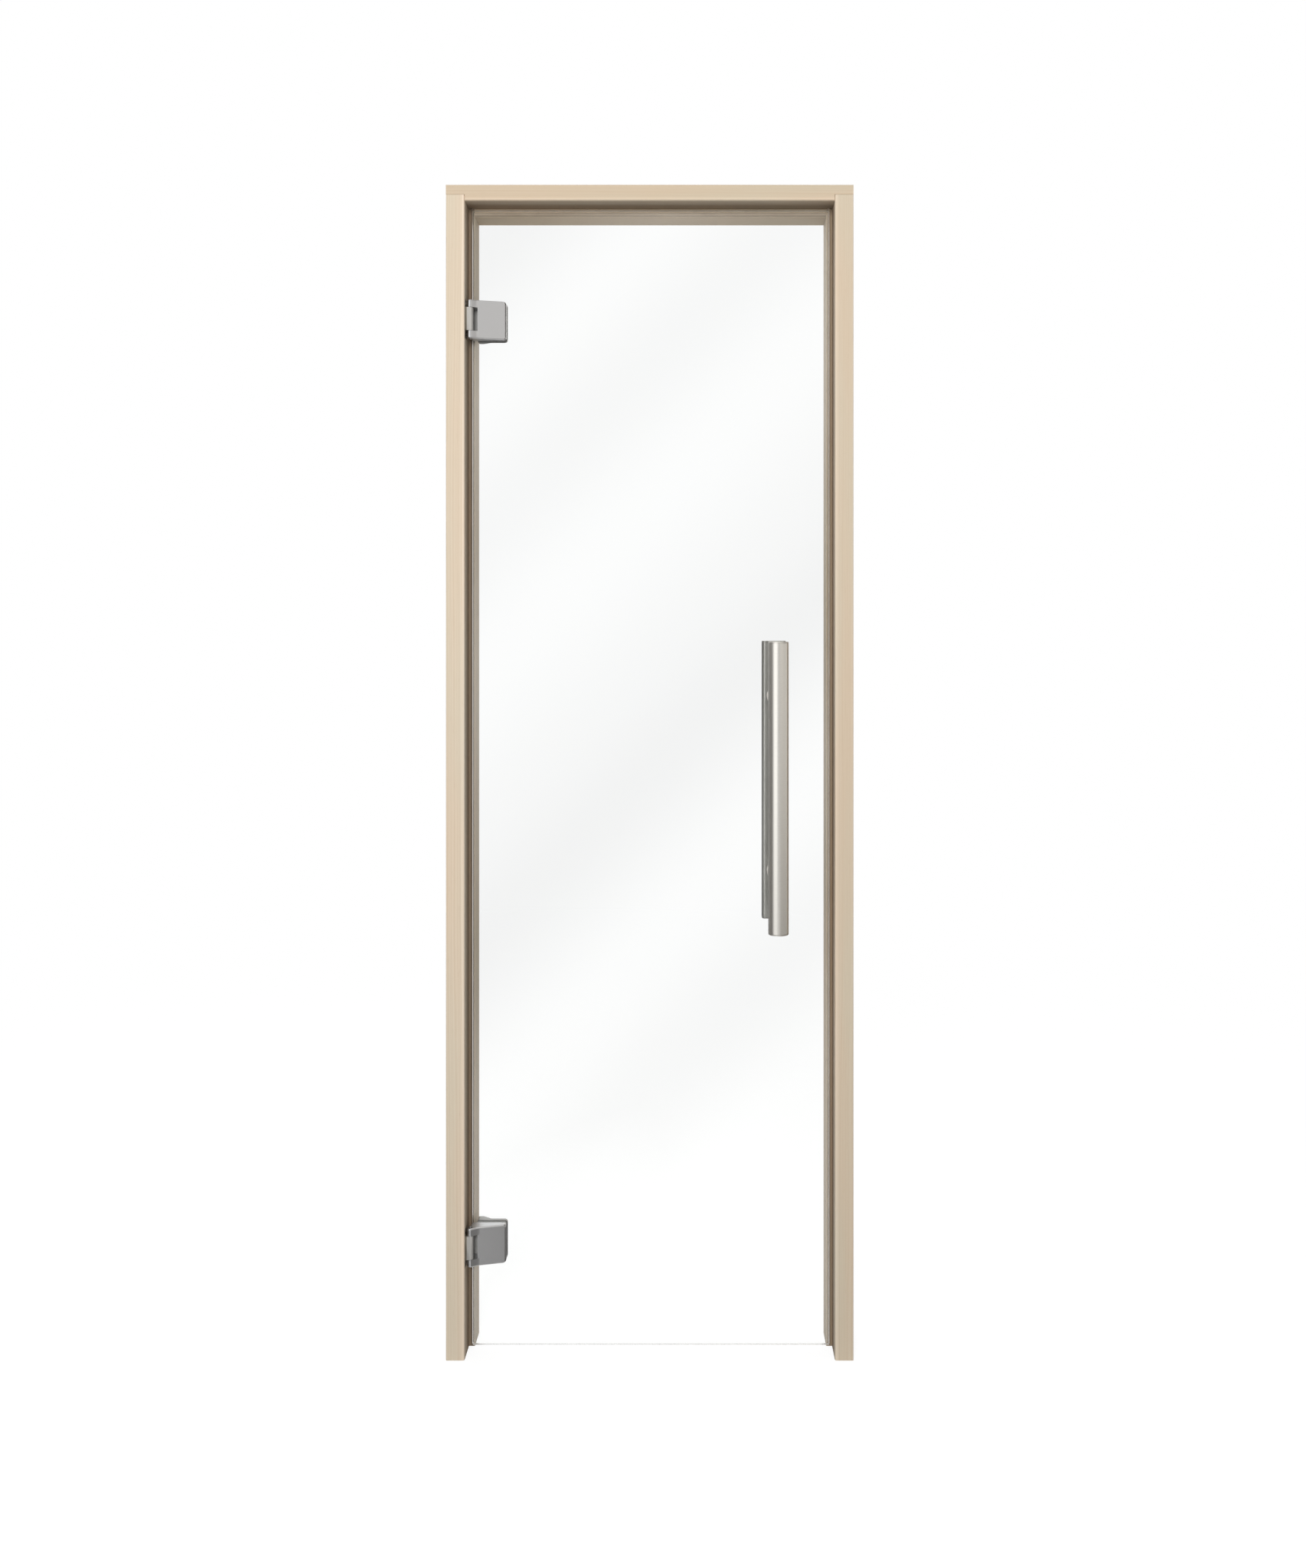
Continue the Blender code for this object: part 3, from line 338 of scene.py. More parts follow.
own_white = rescale(tree, far_out, 0.0, 1.0, FLOOR_GLOW, 1.0, smooth=False)
glow = add(tree, "ShaderNodeEmission", {0: WHITE, 1: own_white})
shown = add(tree, "ShaderNodeAddShader", {0: lit.outputs[0], 1: glow.outputs[0]})
inside_amount = rescale(tree, split(tree, floor_place)[1], *BOUNCE_CHANGE)
bounce = blend(tree, inside_amount, BOUNCE_OUTSIDE, BOUNCE_INSIDE)
matt = add(tree, "ShaderNodeBsdfDiffuse", {0: bounce})
clear = add(tree, "ShaderNodeBsdfTransparent")
was_mirrored, was_scattered = ray_history(tree)
seen = add(tree, "ShaderNodeMixShader", {0: was_mirrored, 1: shown.outputs[0], 2: clear.outputs[0]})
seen = add(tree, "ShaderNodeMixShader", {0: was_scattered, 1: seen.outputs[0], 2: matt.outputs[0]})
add(tree, "ShaderNodeOutputMaterial", {0: seen.outputs[0]})
floor_mesh.materials.append(paper)
print("floor is", 2 * FLOOR_HALF, "m square")

# %% [markdown]
# ## Pine
# The frame is planed pine, almost white, with fine straight grain along each member. Grain is not a picture
# on a face: it is yearly rings round the heart of the tree, cut by the planks' faces. So the material works
# out how far each point lies from a heart line that runs beside the plank, and colours by that distance.
# Long faces then get near straight lines, and the sawn ends get arcs, with no seam at the edges. The rings
# wander a little, fine fibres streak along them, and short dark pores are scattered between. Round the
# doorway the arris gets a paler band, which is a painted highlight, and the rebate behind it is darkened,
# which is painted shade.

# %% Group: grain of a plank along Z
RING_WANDER = 0.020              # metres that the rings stray
LEAN_YEARS = 0.009               # metres that good and lean years push them together and apart
WARM_DRIFT = (1.03, 0.975, 0.955, 1.0)


def drawn_out(tree, place, share):
    """A place whose height counts by a share only, which draws a pattern out along the plank."""
    inputs = {0: place, 1: (1.0, 1.0, share)}
    return add(tree, "ShaderNodeVectorMath", inputs, operation="MULTIPLY").outputs[0]


grain, given, result = new_group("plank_grain", {
    "Heart X": 0.12, "Heart Y": 0.09, "Ring Spacing": 0.0032, "Early Wood": (0.7, 0.6, 0.45, 1.0),
    "Late Wood": (0.6, 0.48, 0.33, 1.0), "Contrast": 0.5})
tree = grain
plank_place = given["Place"]
broad_place = drawn_out(tree, plank_place, 0.10)
wander = times(tree, minus(tree, noise(tree, broad_place, 9.0, 2.0), 0.5), RING_WANDER)
x, y = split(tree, plank_place)[:2]
distance = length(tree, minus(tree, x, given["Heart X"]), minus(tree, y, given["Heart Y"]))
distance = plus(tree, distance, wander)
lean = add(tree, "ShaderNodeTexNoise", {"W": distance, "Scale": 95.0, "Detail": 1.0},
           noise_dimensions="1D").outputs[0]
distance = calculate(tree, "MULTIPLY_ADD", lean, LEAN_YEARS, distance)
# A year starts pale, darkens slowly and ends at a crisp line
year = calculate(tree, "FRACT", calculate(tree, "DIVIDE", distance, given["Ring Spacing"]))
late = times(tree, rescale(tree, year, 0.35, 0.9), rescale(tree, year, 0.93, 1.0, 1.0, 0.0))
slow = noise(tree, broad_place, 26.0, 3.0)
late = times(tree, late, rescale(tree, slow, 0.3, 0.7, 0.35, 1.0))
fibre = noise(tree, drawn_out(tree, plank_place, 0.012), 1500.0, 4.0, 0.6)
pores = add(tree, "ShaderNodeTexVoronoi", {"Vector": drawn_out(tree, plank_place, 0.05), "Scale": 420.0,
                                           "Randomness": 1.0}).outputs["Distance"]
pores = rescale(tree, pores, 0.05, 0.16, 1.0, 0.0)
# How much late wood shows: the rings, and a little more or less with the fibres, slow drifts and pores
amount = times(tree, late, given["Contrast"])
amount = plus(tree, amount, rescale(tree, fibre, 0.3, 0.7, -0.10, 0.16, smooth=False))
amount = plus(tree, amount, rescale(tree, slow, 0.25, 0.75, 0.12, -0.12, smooth=False))
amount = plus(tree, amount, times(tree, pores, 0.30))
amount = add(tree, "ShaderNodeClamp", {0: amount}).outputs[0]
colour = blend(tree, amount, given["Early Wood"], given["Late Wood"])
# Broad drifts of warmth, a hand's length each
drift = noise(tree, broad_place, 24.0, 1.0)
colour = blend(tree, rescale(tree, drift, 0.3, 0.7), colour, WARM_DRIFT, "MULTIPLY")
height = minus(tree, times(tree, fibre, 0.5), times(tree, pores, 0.8))
height = plus(tree, height, times(tree, late, 0.35))
rough = plus(tree, 0.50, times(tree, fibre, 0.18))
fill(tree, result, {"Color": colour, "Roughness": rough, "Height": height})
print("grain group has", len(tree.nodes), "nodes")

# %% Pine for each member
# For each member: the heart of the tree beside it, the turn that lays its length along Z, a shift along the
# trunk, the rebate's wall as its axis, the way it faces and its place on that axis, how far past that wall
# the painted shade reaches, and the early wood's tone
MEMBERS = {
    "hinge_jamb": ((0.150, 0.055), (0.0, 0.0, 0.0), 0.0, (0, 1.0, 0.0105), 0.006, (0.715, 0.628, 0.500)),
    "latch_jamb": ((0.520, -0.120), (0.0, 0.0, 0.0), 3.7, (0, -1.0, 0.6375), 0.004, (0.660, 0.575, 0.450)),
    "head": ((1.845, 0.085), (0.0, math.pi / 2, 0.0), 7.9, (2, -1.0, 1.963), 0.0008, (0.620, 0.532, 0.405)),
}
LATE_WOOD = (0.560, 0.445, 0.305, 1.0)
RING_CONTRAST = 0.48
# Painted highlight: the arris round the doorway is made paler, as if its rounded edge caught the light
ARRIS_PAINTED_HIGHLIGHT = (1.15, 1.15, 1.18, 1.0)
HIGHLIGHT_EDGE = (-0.0075, -0.0025)   # past the wall: where the paler band of painted highlight comes in
HIGHLIGHT_FRONT = (-0.040, -0.043)    # along Y: it lies on the frame's front only
# Painted shade: the rebate's wall and the stop's first millimetres are darkened where shade falls in the
# recess
REBATE_PAINTED_SHADE = (0.50, 0.44, 0.395, 1.0)
SHADE_EDGE = (-0.003, -0.0008)   # past the wall: where the painted shade comes in
SHADE_SOFTNESS = 0.0015          # on either side of its reach
SHADE_DEPTH = (-0.040, -0.014)   # along Y: it grows towards the stop
SHADE_END = (0.0002, -0.0006)    # along Y: and ends just behind the stop's front, which is at -0.001


def pine(name, heart, turn, shift, wall, reach, tone):
    """Pale pine with its grain along the member, a painted highlight on the arris and painted shade in the
    rebate.

    How far a point lies past the rebate's wall, into the doorway, is its place on the wall's axis times the
    way the wall faces, less the wall's own. Painted shade darkens the wall and the stop's first few
    millimetres.
    """
    material, tree, shader = new_material("pine_" + name)
    object_place = add(tree, "ShaderNodeTexCoord").outputs["Object"]
    place = add(tree, "ShaderNodeMapping", {"Vector": object_place, "Rotation": turn,
                                            "Location": (0.0, 0.0, shift)}).outputs[0]
    plank = add(tree, "ShaderNodeGroup", {"Place": place, "Heart X": heart[0], "Heart Y": heart[1],
                                          "Early Wood": (*tone, 1.0), "Late Wood": LATE_WOOD,
                                          "Contrast": RING_CONTRAST}, node_tree=grain).outputs
    axis, side, edge = wall
    parts = split(tree, object_place)
    past = minus(tree, times(tree, parts[axis], side), side * edge)
    # Painted highlight: the colour is paler on the arris at the frame's front
    arris_highlight = times(tree, rescale(tree, past, *HIGHLIGHT_EDGE), rescale(tree, parts[1], *HIGHLIGHT_FRONT))
    colour = blend(tree, arris_highlight, plank["Color"], ARRIS_PAINTED_HIGHLIGHT, "MULTIPLY")
    # Painted shade: darker on the rebate's wall and the stop's first millimetres, growing towards the stop
    rebate_shade = rescale(tree, past, *SHADE_EDGE)
    rebate_shade = times(tree, rebate_shade, rescale(tree, past, reach + SHADE_SOFTNESS, reach - SHADE_SOFTNESS))
    rebate_shade = times(tree, rebate_shade, rescale(tree, parts[1], *SHADE_DEPTH))
    rebate_shade = times(tree, rebate_shade, rescale(tree, parts[1], *SHADE_END))
    colour = blend(tree, rebate_shade, colour, REBATE_PAINTED_SHADE, "MULTIPLY")
    fill(tree, shader, {"Base Color": colour, "Roughness": plank["Roughness"], "Specular IOR Level": 0.35,
                        "Normal": bump(tree, plank["Height"], 0.35, 0.00025)})
    return material


def dress(node, material):
    """Give a carried-over piece its finish through its material slots."""
    piece = nodes[node]
    if not piece.material_slots:
        piece.data.materials.append(material)
    for material_slot in piece.material_slots:
        material_slot.material = material


for member, values in MEMBERS.items():
    dress(member, pine(member, *values))
print("pine on", ", ".join(MEMBERS))

# %% [markdown]
# ## Metals
# All the metal is satin: polished bright, then left with fine lines or a fine grain that blurs what it
# mirrors. One group gives that life to every metal here. It takes a place, stretched by each material the way
# its lines run, and gives back a colour, a roughness and a height for the bump.

# %% Group: satin finish
satin, given, result = new_group("satin_finish", {
    "Line Scale": 900.0, "Base Roughness": 0.3, "Roughness Change": 0.08, "Tone": (0.6, 0.6, 0.6, 1.0),
    "Tone Change": 0.06})
tree = satin
lines = noise(tree, given["Place"], given["Line Scale"], 3.0, 0.65)
cloud = noise(tree, given["Place"], 14.0, 2.0)
change = minus(tree, plus(tree, times(tree, lines, 0.7), times(tree, cloud, 0.3)), 0.5)
rough = calculate(tree, "MULTIPLY_ADD", change, given["Roughness Change"], given["Base Roughness"])
darker = times(tree, rescale(tree, lines, 0.3, 0.7), given["Tone Change"])
colour = blend(tree, darker, given["Tone"], BLACK)
fill(tree, result, {"Color": colour, "Roughness": rough, "Height": lines})
print("satin group has", len(tree.nodes), "nodes")

# %% Metals
PLATE_PAINTED_SHADE = (0.42, 0.38, 0.32, 1.0)   # what is left of the colour where the painted shade is full


def metal(name, tone, roughness, stretch, line_scale, bump_height, bare=1.0, painted_shade=None):
    """A satin metal; stretch is small along the way its lines run, and bare is under 1 where it is lacquered.

    Painted shade gives two places along X: up to the first the colour is fully darkened, past the second it is
    its own.
    """
    material, tree, shader = new_material(name)
    object_place = add(tree, "ShaderNodeTexCoord").outputs["Object"]
    place = add(tree, "ShaderNodeMapping", {"Vector": object_place, "Scale": stretch}).outputs[0]
    finish = add(tree, "ShaderNodeGroup", {"Place": place, "Line Scale": line_scale, "Tone": (*tone, 1.0),
                                           "Base Roughness": roughness}, node_tree=satin).outputs
    colour = finish["Color"]
    # Painted shade: the colour darkens towards the wood, where the gap by the reveal lies in shade
    if painted_shade:
        shade_amount = rescale(tree, split(tree, object_place)[0], painted_shade[1], painted_shade[0])
        colour = blend(tree, shade_amount, colour, PLATE_PAINTED_SHADE, "MULTIPLY")
    fill(tree, shader, {"Base Color": colour, "Roughness": finish["Roughness"], "Metallic": bare,
                        "Normal": bump(tree, finish["Height"], 0.25, bump_height)})
    return material


# Hinge castings have an even grain, the tube's lines run round it, and the inner bar's run along it
hinge_steel = metal("satin_hinge_metal", (0.60, 0.60, 0.61), 0.32, (1.0, 1.0, 1.0), 1600.0, 0.00004)
tube_steel = metal("turned_tube_steel", (0.76, 0.735, 0.69), 0.33, (0.06, 0.06, 1.0), 2600.0, 0.00002)
bar_steel = metal("brushed_bar_steel", (0.44, 0.435, 0.415), 0.42, (1.0, 1.0, 0.03), 2200.0, 0.00003)
back_steel = metal("satin_inner_clamp_metal", (0.34, 0.335, 0.325), 0.36, (1.0, 1.0, 1.0), 1600.0, 0.00004)
# The let-in plates are lacquered, and are painted darker where they meet the wood, as painted shade in the gap
# there
plate_metal = metal("lacquered_plate_metal", (0.60, 0.59, 0.57), 0.40, (1.0, 1.0, 1.0), 1600.0, 0.00004, 0.75,
                    painted_shade=(0.0125, 0.0145))
screw_steel = metal("bright_screw_steel", (0.62, 0.61, 0.60), 0.26, (1.0, 1.0, 1.0), 2600.0, 0.00002)
print("six metals")

# %% [markdown]
# ## Rubber, seal and glass
# A thin grey rubber sheet keeps each clamp off the glass, and a soft beige strip on the stop takes the closed
# leaf. Both are matt and slightly dusty in the grain. The glass is clear float glass. A solid pane needs only
# a true refractive index and a trace of green, and its edges are rough where they are ground.

# %% Rubber and seal
def soft_plastic(name, tone, darker, roughness, grain_scale):
    """A matt polymer with a fine moulded grain."""
    material, tree, shader = new_material(name)
    place = add(tree, "ShaderNodeTexCoord").outputs["Object"]
    grit = noise(tree, place, grain_scale, 3.0)
    patch = noise(tree, place, 18.0, 2.0)
    colour = blend(tree, rescale(tree, patch, 0.3, 0.7), (*tone, 1.0), (*darker, 1.0))
    gloss = rescale(tree, grit, 0.3, 0.7, roughness - 0.07, roughness + 0.07)
    fill(tree, shader, {"Base Color": colour, "Roughness": gloss, "Normal": bump(tree, grit, 0.3, 0.00006)})
    return material


rubber = soft_plastic("grey_gasket_rubber", (0.42, 0.42, 0.41), (0.37, 0.37, 0.36), 0.62, 1800.0)
seal_beige = soft_plastic("beige_door_seal", (0.42, 0.345, 0.265), (0.37, 0.30, 0.23), 0.55, 1400.0)
# The strip by the hinges is a darker copy of the seal, which is painted shade for the shaded rebate on that
# side
seal_painted_shade = soft_plastic("painted_shade_door_seal", (0.22, 0.175, 0.13), (0.19, 0.15, 0.11), 0.55, 1400.0)
for node in nodes:
    if node.endswith("_gasket"):
        dress(node, rubber)

# %% Glass
GLASS_TINT = (0.975, 0.982, 0.979, 1.0)
GLASS_INDEX = 1.52
GROUND_ROUGHNESS = 0.35

glass, tree, shader = new_material("clear_float_glass")
# The two faces are clear and the edges are ground: only there does the piece's own normal leave its Y axis
own_normal = add(tree, "ShaderNodeTexCoord").outputs["Normal"]
faces_out = calculate(tree, "ABSOLUTE", split(tree, own_normal)[1])
ground = rescale(tree, faces_out, 0.85, 0.97, GROUND_ROUGHNESS, 0.0)
fill(tree, shader, {"Base Color": GLASS_TINT, "Roughness": ground, "IOR": GLASS_INDEX,
                    "Transmission Weight": 1.0})
dress("glass_pane", glass)
# The lamp shines through the pane, which a ray tracer would otherwise take for a solid shade
nodes["glass_pane"].visible_shadow = False
print("glass index", GLASS_INDEX)

# %% [markdown]
# ## Solids from outlines
# A cast clamp, a bar or a cap is an outline that is carried along a direction, while its edges are rounded.
# Three array functions do that for all of them. The first moves the sides of an outline inwards, the second
# rounds its corners, and the third joins a stack of such outlines into a closed skin. Each works on every
# level at once, so there is no loop over points.

# %% Outlines as arrays
ARC_STEPS = 8


def inset(corners, distances):
    """Corners of counter-clockwise outlines after side k has moved inwards by its own distance.

    A new corner is the crossing of its two moved sides. With outward normals n and m, and distances a and b,
    it lies at the offset p for which n . p = -a and m . p = -b. Where the sides are in line, p is -a times n.
    """
    side = np.roll(corners, -1, axis=1) - corners
    side = side / np.linalg.norm(side, axis=2, keepdims=True)
    after = np.stack([side[..., 1], -side[..., 0]], axis=-1)
    before = np.roll(after, 1, axis=1)
    a = np.roll(distances, 1, axis=1)
    b = distances
    crossing = before[..., 0] * after[..., 1] - before[..., 1] * after[..., 0]
    in_line = np.abs(crossing) < 1e-6
    safe = np.where(in_line, 1.0, crossing)
    u = np.where(in_line, -a * before[..., 0], (b * before[..., 1] - a * after[..., 1]) / safe)
    v = np.where(in_line, -a * before[..., 1], (a * after[..., 0] - b * before[..., 0]) / safe)
    return corners + np.stack([u, v], axis=-1)


def filleted(corners, radii, steps=ARC_STEPS):
    """Outlines with every corner replaced by an arc that touches both of its sides.

    The arc starts at radius times tan(half the turn) before the corner. Its centre lies one radius from
    there, square to the side, and its points are the arm from that centre turned step by step.
    """
    into = corners - np.roll(corners, 1, axis=1)
    into = into / np.linalg.norm(into, axis=2, keepdims=True)
    out = np.roll(into, -1, axis=1)
    turn = np.arctan2(into[..., 0] * out[..., 1] - into[..., 1] * out[..., 0], (into * out).sum(axis=2))
    setback = radii * np.tan(np.abs(turn) / 2)
    inwards = np.stack([-into[..., 1], into[..., 0]], axis=-1) * np.sign(turn)[..., None]
    centre = corners - into * setback[..., None] + inwards * radii[..., None]
    arm = -inwards * radii[..., None]
    angle = turn[..., None] * np.linspace(0.0, 1.0, steps + 1)
    u = centre[..., 0, None] + arm[..., 0, None] * np.cos(angle) - arm[..., 1, None] * np.sin(angle)
    v = centre[..., 1, None] + arm[..., 0, None] * np.sin(angle) + arm[..., 1, None] * np.cos(angle)
    return np.stack([u, v], axis=-1).reshape(len(corners), -1, 2)


def skin(name, rings, material, closed_ends=True):
    """A mesh object through a stack of rings, an array of (levels, points, xyz).

    Points i and i + 1 of two rings in a row make one four-sided face. With closed ends the first and last
    rings are filled, and without them the last ring is joined to the first one, as in a hollow tube.
    """
    levels, around = rings.shape[:2]
    spans = levels - 1 if closed_ends else levels
    level = np.arange(spans)[:, None]
    point = np.arange(around)[None, :]
    here = level * around + point
    beside = level * around + (point + 1) % around
    above = (here + around) % (levels * around)
    above_beside = (beside + around) % (levels * around)
    faces = np.stack([here, beside, above_beside, above], axis=-1).reshape(-1, 4).tolist()
    if closed_ends:
        faces.append(list(range(around))[::-1])
        faces.append(list(range((levels - 1) * around, levels * around)))
    mesh = bpy.data.meshes.new(name)
    mesh.from_pydata(rings.reshape(-1, 3).tolist(), [], faces)
    piece = bpy.data.objects.new(name, mesh)
    scene.collection.objects.link(piece)
    mesh.materials.append(material)
    weld(piece)
    return piece


def weld(piece, distance=0.000001, sharp_degrees=32):
    """Merge points that fall together, face everything outwards and smooth all but the sharp edges."""
    working = bmesh.new()
    working.from_mesh(piece.data)
    bmesh.ops.remove_doubles(working, verts=working.verts, dist=distance)
    bmesh.ops.dissolve_degenerate(working, edges=working.edges, dist=distance)
    bmesh.ops.recalc_face_normals(working, faces=working.faces)
    working.to_mesh(piece.data)
    working.free()
    piece.data.shade_smooth()
    piece.data.set_sharp_from_angle(angle=math.radians(sharp_degrees))


def settle(piece, body, slot, *replaced):
    """Let a finished piece ride on its body and stand for its CAD nodes. The slot is not used."""
    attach(piece, body)
    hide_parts(*replaced)
    flats = piece.modifiers.new("flat_faces_stay_flat", "WEIGHTED_NORMAL")
    flats.keep_sharp = True
    print(f"{piece.name}: {len(piece.data.polygons)} faces")


# %% [markdown]
# ## Round pieces
# The pull tube, its end caps, the inner posts and the washers are turned: a profile of radius and height,
# swung round an axis. A profile made of arcs gives rims that catch the light, as a plain cylinder never does.

# %% Turned shapes
TUBE_AROUND = 96
LEAST_RADIUS = 0.00001           # instead of 0, for the points of a profile on its axis


def axes_of(direction):
    """Two unit vectors square to a direction, which turn anticlockwise about it."""
    direction = np.asarray(direction, float)
    helper = np.array([0.0, 0.0, 1.0]) if abs(direction[2]) < 0.9 else np.array([1.0, 0.0, 0.0])
    first = np.cross(helper, direction)
    first = first / np.linalg.norm(first)
    return first, np.cross(direction, first)


def turned(name, profile, foot, direction, material, around=TUBE_AROUND, closed_ends=True):
    """A profile of (radius, height) swung about an axis.

    A point at angle t is foot + height * direction + radius * (cos t * first + sin t * second).
    """
    first, second = axes_of(direction)
    angle = np.linspace(0.0, 2 * math.pi, around, endpoint=False)
    circle = np.cos(angle)[:, None] * first + np.sin(angle)[:, None] * second
    profile = np.asarray(profile, float)
    radius = np.maximum(profile[:, 0], LEAST_RADIUS)
    rings = np.asarray(foot, float) + profile[:, 1, None, None] * np.asarray(direction, float)
    rings = rings + radius[:, None, None] * circle[None]
    return skin(name, rings, material, closed_ends)


def quarter(centre_radius, centre_height, radius, start, end, steps=6):
    """Profile points on an arc: centre plus radius times (cos, sin), with the angles in degrees."""
    angle = np.radians(np.linspace(start, end, steps + 1))
    return np.stack([centre_radius + radius * np.cos(angle), centre_height + radius * np.sin(angle)], axis=1)


def centre_of(node):
    """Middle of a node's box, and its size, as arrays."""
    low, high = np.array(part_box(node))
    return (low + high) / 2, high - low


def cap_heights(node, sign, base):
    """How far a cap stands out from its base, up or down by the sign, and how long its spigot is."""
    low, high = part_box(node)
    thickness = abs((high if sign > 0 else low)[2] - base)
    return thickness, high[2] - low[2] - thickness


# %% Outer pull tube
FIT = 0.0003                     # gap that is left where two pieces of the handle meet
TUBE_WALL = 0.0015
TUBE_EDGE = 0.0004
CAP_RIM = 0.0010
CAP_CROWN = 0.00025

tube_middle, tube_size = centre_of("outer_tube")
tube_radius = tube_size[0] / 2
tube_half = tube_size[2] / 2
inside = tube_radius - TUBE_WALL
wall = np.concatenate([
    [(inside, -tube_half)], quarter(tube_radius - TUBE_EDGE, TUBE_EDGE - tube_half, TUBE_EDGE, -90, 0),
    quarter(tube_radius - TUBE_EDGE, tube_half - TUBE_EDGE, TUBE_EDGE, 0, 90), [(inside, tube_half)]])
tube = turned("outer_pull_tube", wall, tube_middle, (0, 0, 1), tube_steel, closed_ends=False)
settle(tube, "leaf", "handle_steel", "outer_tube")

for node, sign in (("outer_tube_top_cap", 1), ("outer_tube_bottom_cap", -1)):
    foot = tube_middle + np.array([0.0, 0.0, sign * (tube_half + FIT)])
    thickness, spigot = cap_heights(node, sign, foot[2])
    cap_profile = np.concatenate([
        [(0.0, -spigot), (inside - 2 * FIT, -spigot), (inside - FIT, FIT - spigot), (inside - FIT, 0.0)],
        quarter(tube_radius - TUBE_EDGE / 2, TUBE_EDGE / 2, TUBE_EDGE / 2, -90, 0, 3),
        quarter(tube_radius - CAP_RIM, thickness - CAP_CROWN - CAP_RIM, CAP_RIM, 0, 84),
        [(tube_radius * 0.5, thickness - CAP_CROWN * 0.4), (0.0, thickness)]])
    cap = turned(node.replace("outer_tube", "pull_tube"), cap_profile, foot, (0, 0, sign), tube_steel)
    settle(cap, "leaf", "handle_steel", node)

# %% [markdown]
# ## The flat bar
# The inner bar is a flat oval tube. Its section is a rectangle with generous corners, and its caps are the
# same section pulled in round the rim, level by level: at an angle t up the rim the side lies
# rim * (1 - cos t) further in and rim * sin t higher.

# %% Inner pull bar
BAR_CORNER = 0.006
BAR_WALL = 0.0015
BAR_RIM = 0.0010
LEAST_CORNER = 0.001             # of the section, where the rim has pulled it in


def raised(plan, heights):
    """Plan outlines with a height added to the points of each level."""
    return np.concatenate([plan, np.broadcast_to(heights[:, None, None], plan.shape[:2] + (1,))], axis=2)


def stacked(corners, heights, insets, radii, up=1.0, base=0.0):
    """Rings of one outline at several heights, each moved in by its own inset and then filleted."""
    outlines = np.repeat(corners[None], len(heights), axis=0)
    moved = inset(outlines, np.repeat(np.asarray(insets, float)[:, None], corners.shape[0], axis=1))
    outline = filleted(moved, np.asarray(radii, float)[:, None] * np.ones(corners.shape[0]))
    return raised(outline, base + up * np.asarray(heights, float))


bar_middle, bar_size = centre_of("inner_bar")
bar_corners = bar_middle[:2] + bar_size[:2] / 2 * np.array([(-1, -1), (1, -1), (1, 1), (-1, 1)])
bar_half = bar_size[2] / 2
edge = np.radians(np.linspace(0, 90, 4))
rim_in = TUBE_EDGE * (1 - np.sin(edge))
rim_up = TUBE_EDGE * (1 - np.cos(edge))
bar_heights = np.concatenate([[-bar_half], -bar_half + rim_up, (bar_half - rim_up)[::-1], [bar_half]])
bar_insets = np.concatenate([[BAR_WALL], rim_in, rim_in[::-1], [BAR_WALL]])
rings = stacked(bar_corners, bar_heights, bar_insets, BAR_CORNER - bar_insets, base=bar_middle[2])
bar = skin("inner_pull_bar", rings, bar_steel, closed_ends=False)
settle(bar, "leaf", "brushed_steel", "inner_bar")

for node, sign in (("inner_bar_top_cap", 1), ("inner_bar_bottom_cap", -1)):
    base = bar_middle[2] + sign * (bar_half + FIT)
    thickness, spigot = cap_heights(node, sign, base)
    angle = np.radians(np.linspace(0, 90, 9))
    heights = np.concatenate([[-spigot, 0.0, 0.0], thickness - BAR_RIM + BAR_RIM * np.sin(angle)])
    insets = np.concatenate([[BAR_WALL + FIT] * 2, [0.0], BAR_RIM * (1 - np.cos(angle))])
    radii = np.maximum(BAR_CORNER - insets, LEAST_CORNER)
    rings = stacked(bar_corners, heights, insets, radii, up=sign, base=base)
    cap = skin(node.replace("inner_bar", "pull_bar"), rings, bar_steel)
    settle(cap, "leaf", "brushed_steel", node)

# %% [markdown]
# ## Posts and washers
# Each bar stands on two round posts. Outside, the post meets a round tube, so its end is coped into a saddle
# that follows the tube's circle. Inside, it meets the flat oval bar and ends flat.

# %% Posts and washers
POST_AROUND = 64
POST_EDGE = 0.0005
WASHER_RIM = 0.0009
WASHER_HEEL = 0.0002


def coped_post_rings(node):
    """Rings of an outer post, from its flat foot on the washer to the saddle that takes the tube.

    A saddle point at a sideways offset s lies the square root of (R squared - s squared) behind the tube's
    axis, where R is the tube's radius and the fit.
    """
    middle, size = centre_of(node)
    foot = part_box(node)[1][1]
    radius = size[0] / 2
    angle = np.linspace(0.0, 2 * math.pi, POST_AROUND, endpoint=False)
    across = radius * np.cos(angle)
    levels = [(0.6, foot), (1.0 - POST_EDGE / radius, foot), (1.0, foot - POST_EDGE)]
    for shrink in (1.0, 0.75, 0.5, 0.25, 0.01):
        levels.append((shrink, tube_middle[1] + np.sqrt((tube_radius + FIT) ** 2 - (shrink * across) ** 2)))
    return np.array([np.stack([middle[0] + shrink * across, np.broadcast_to(y, across.shape),
                               middle[2] + shrink * radius * np.sin(angle)], axis=1) for shrink, y in levels])


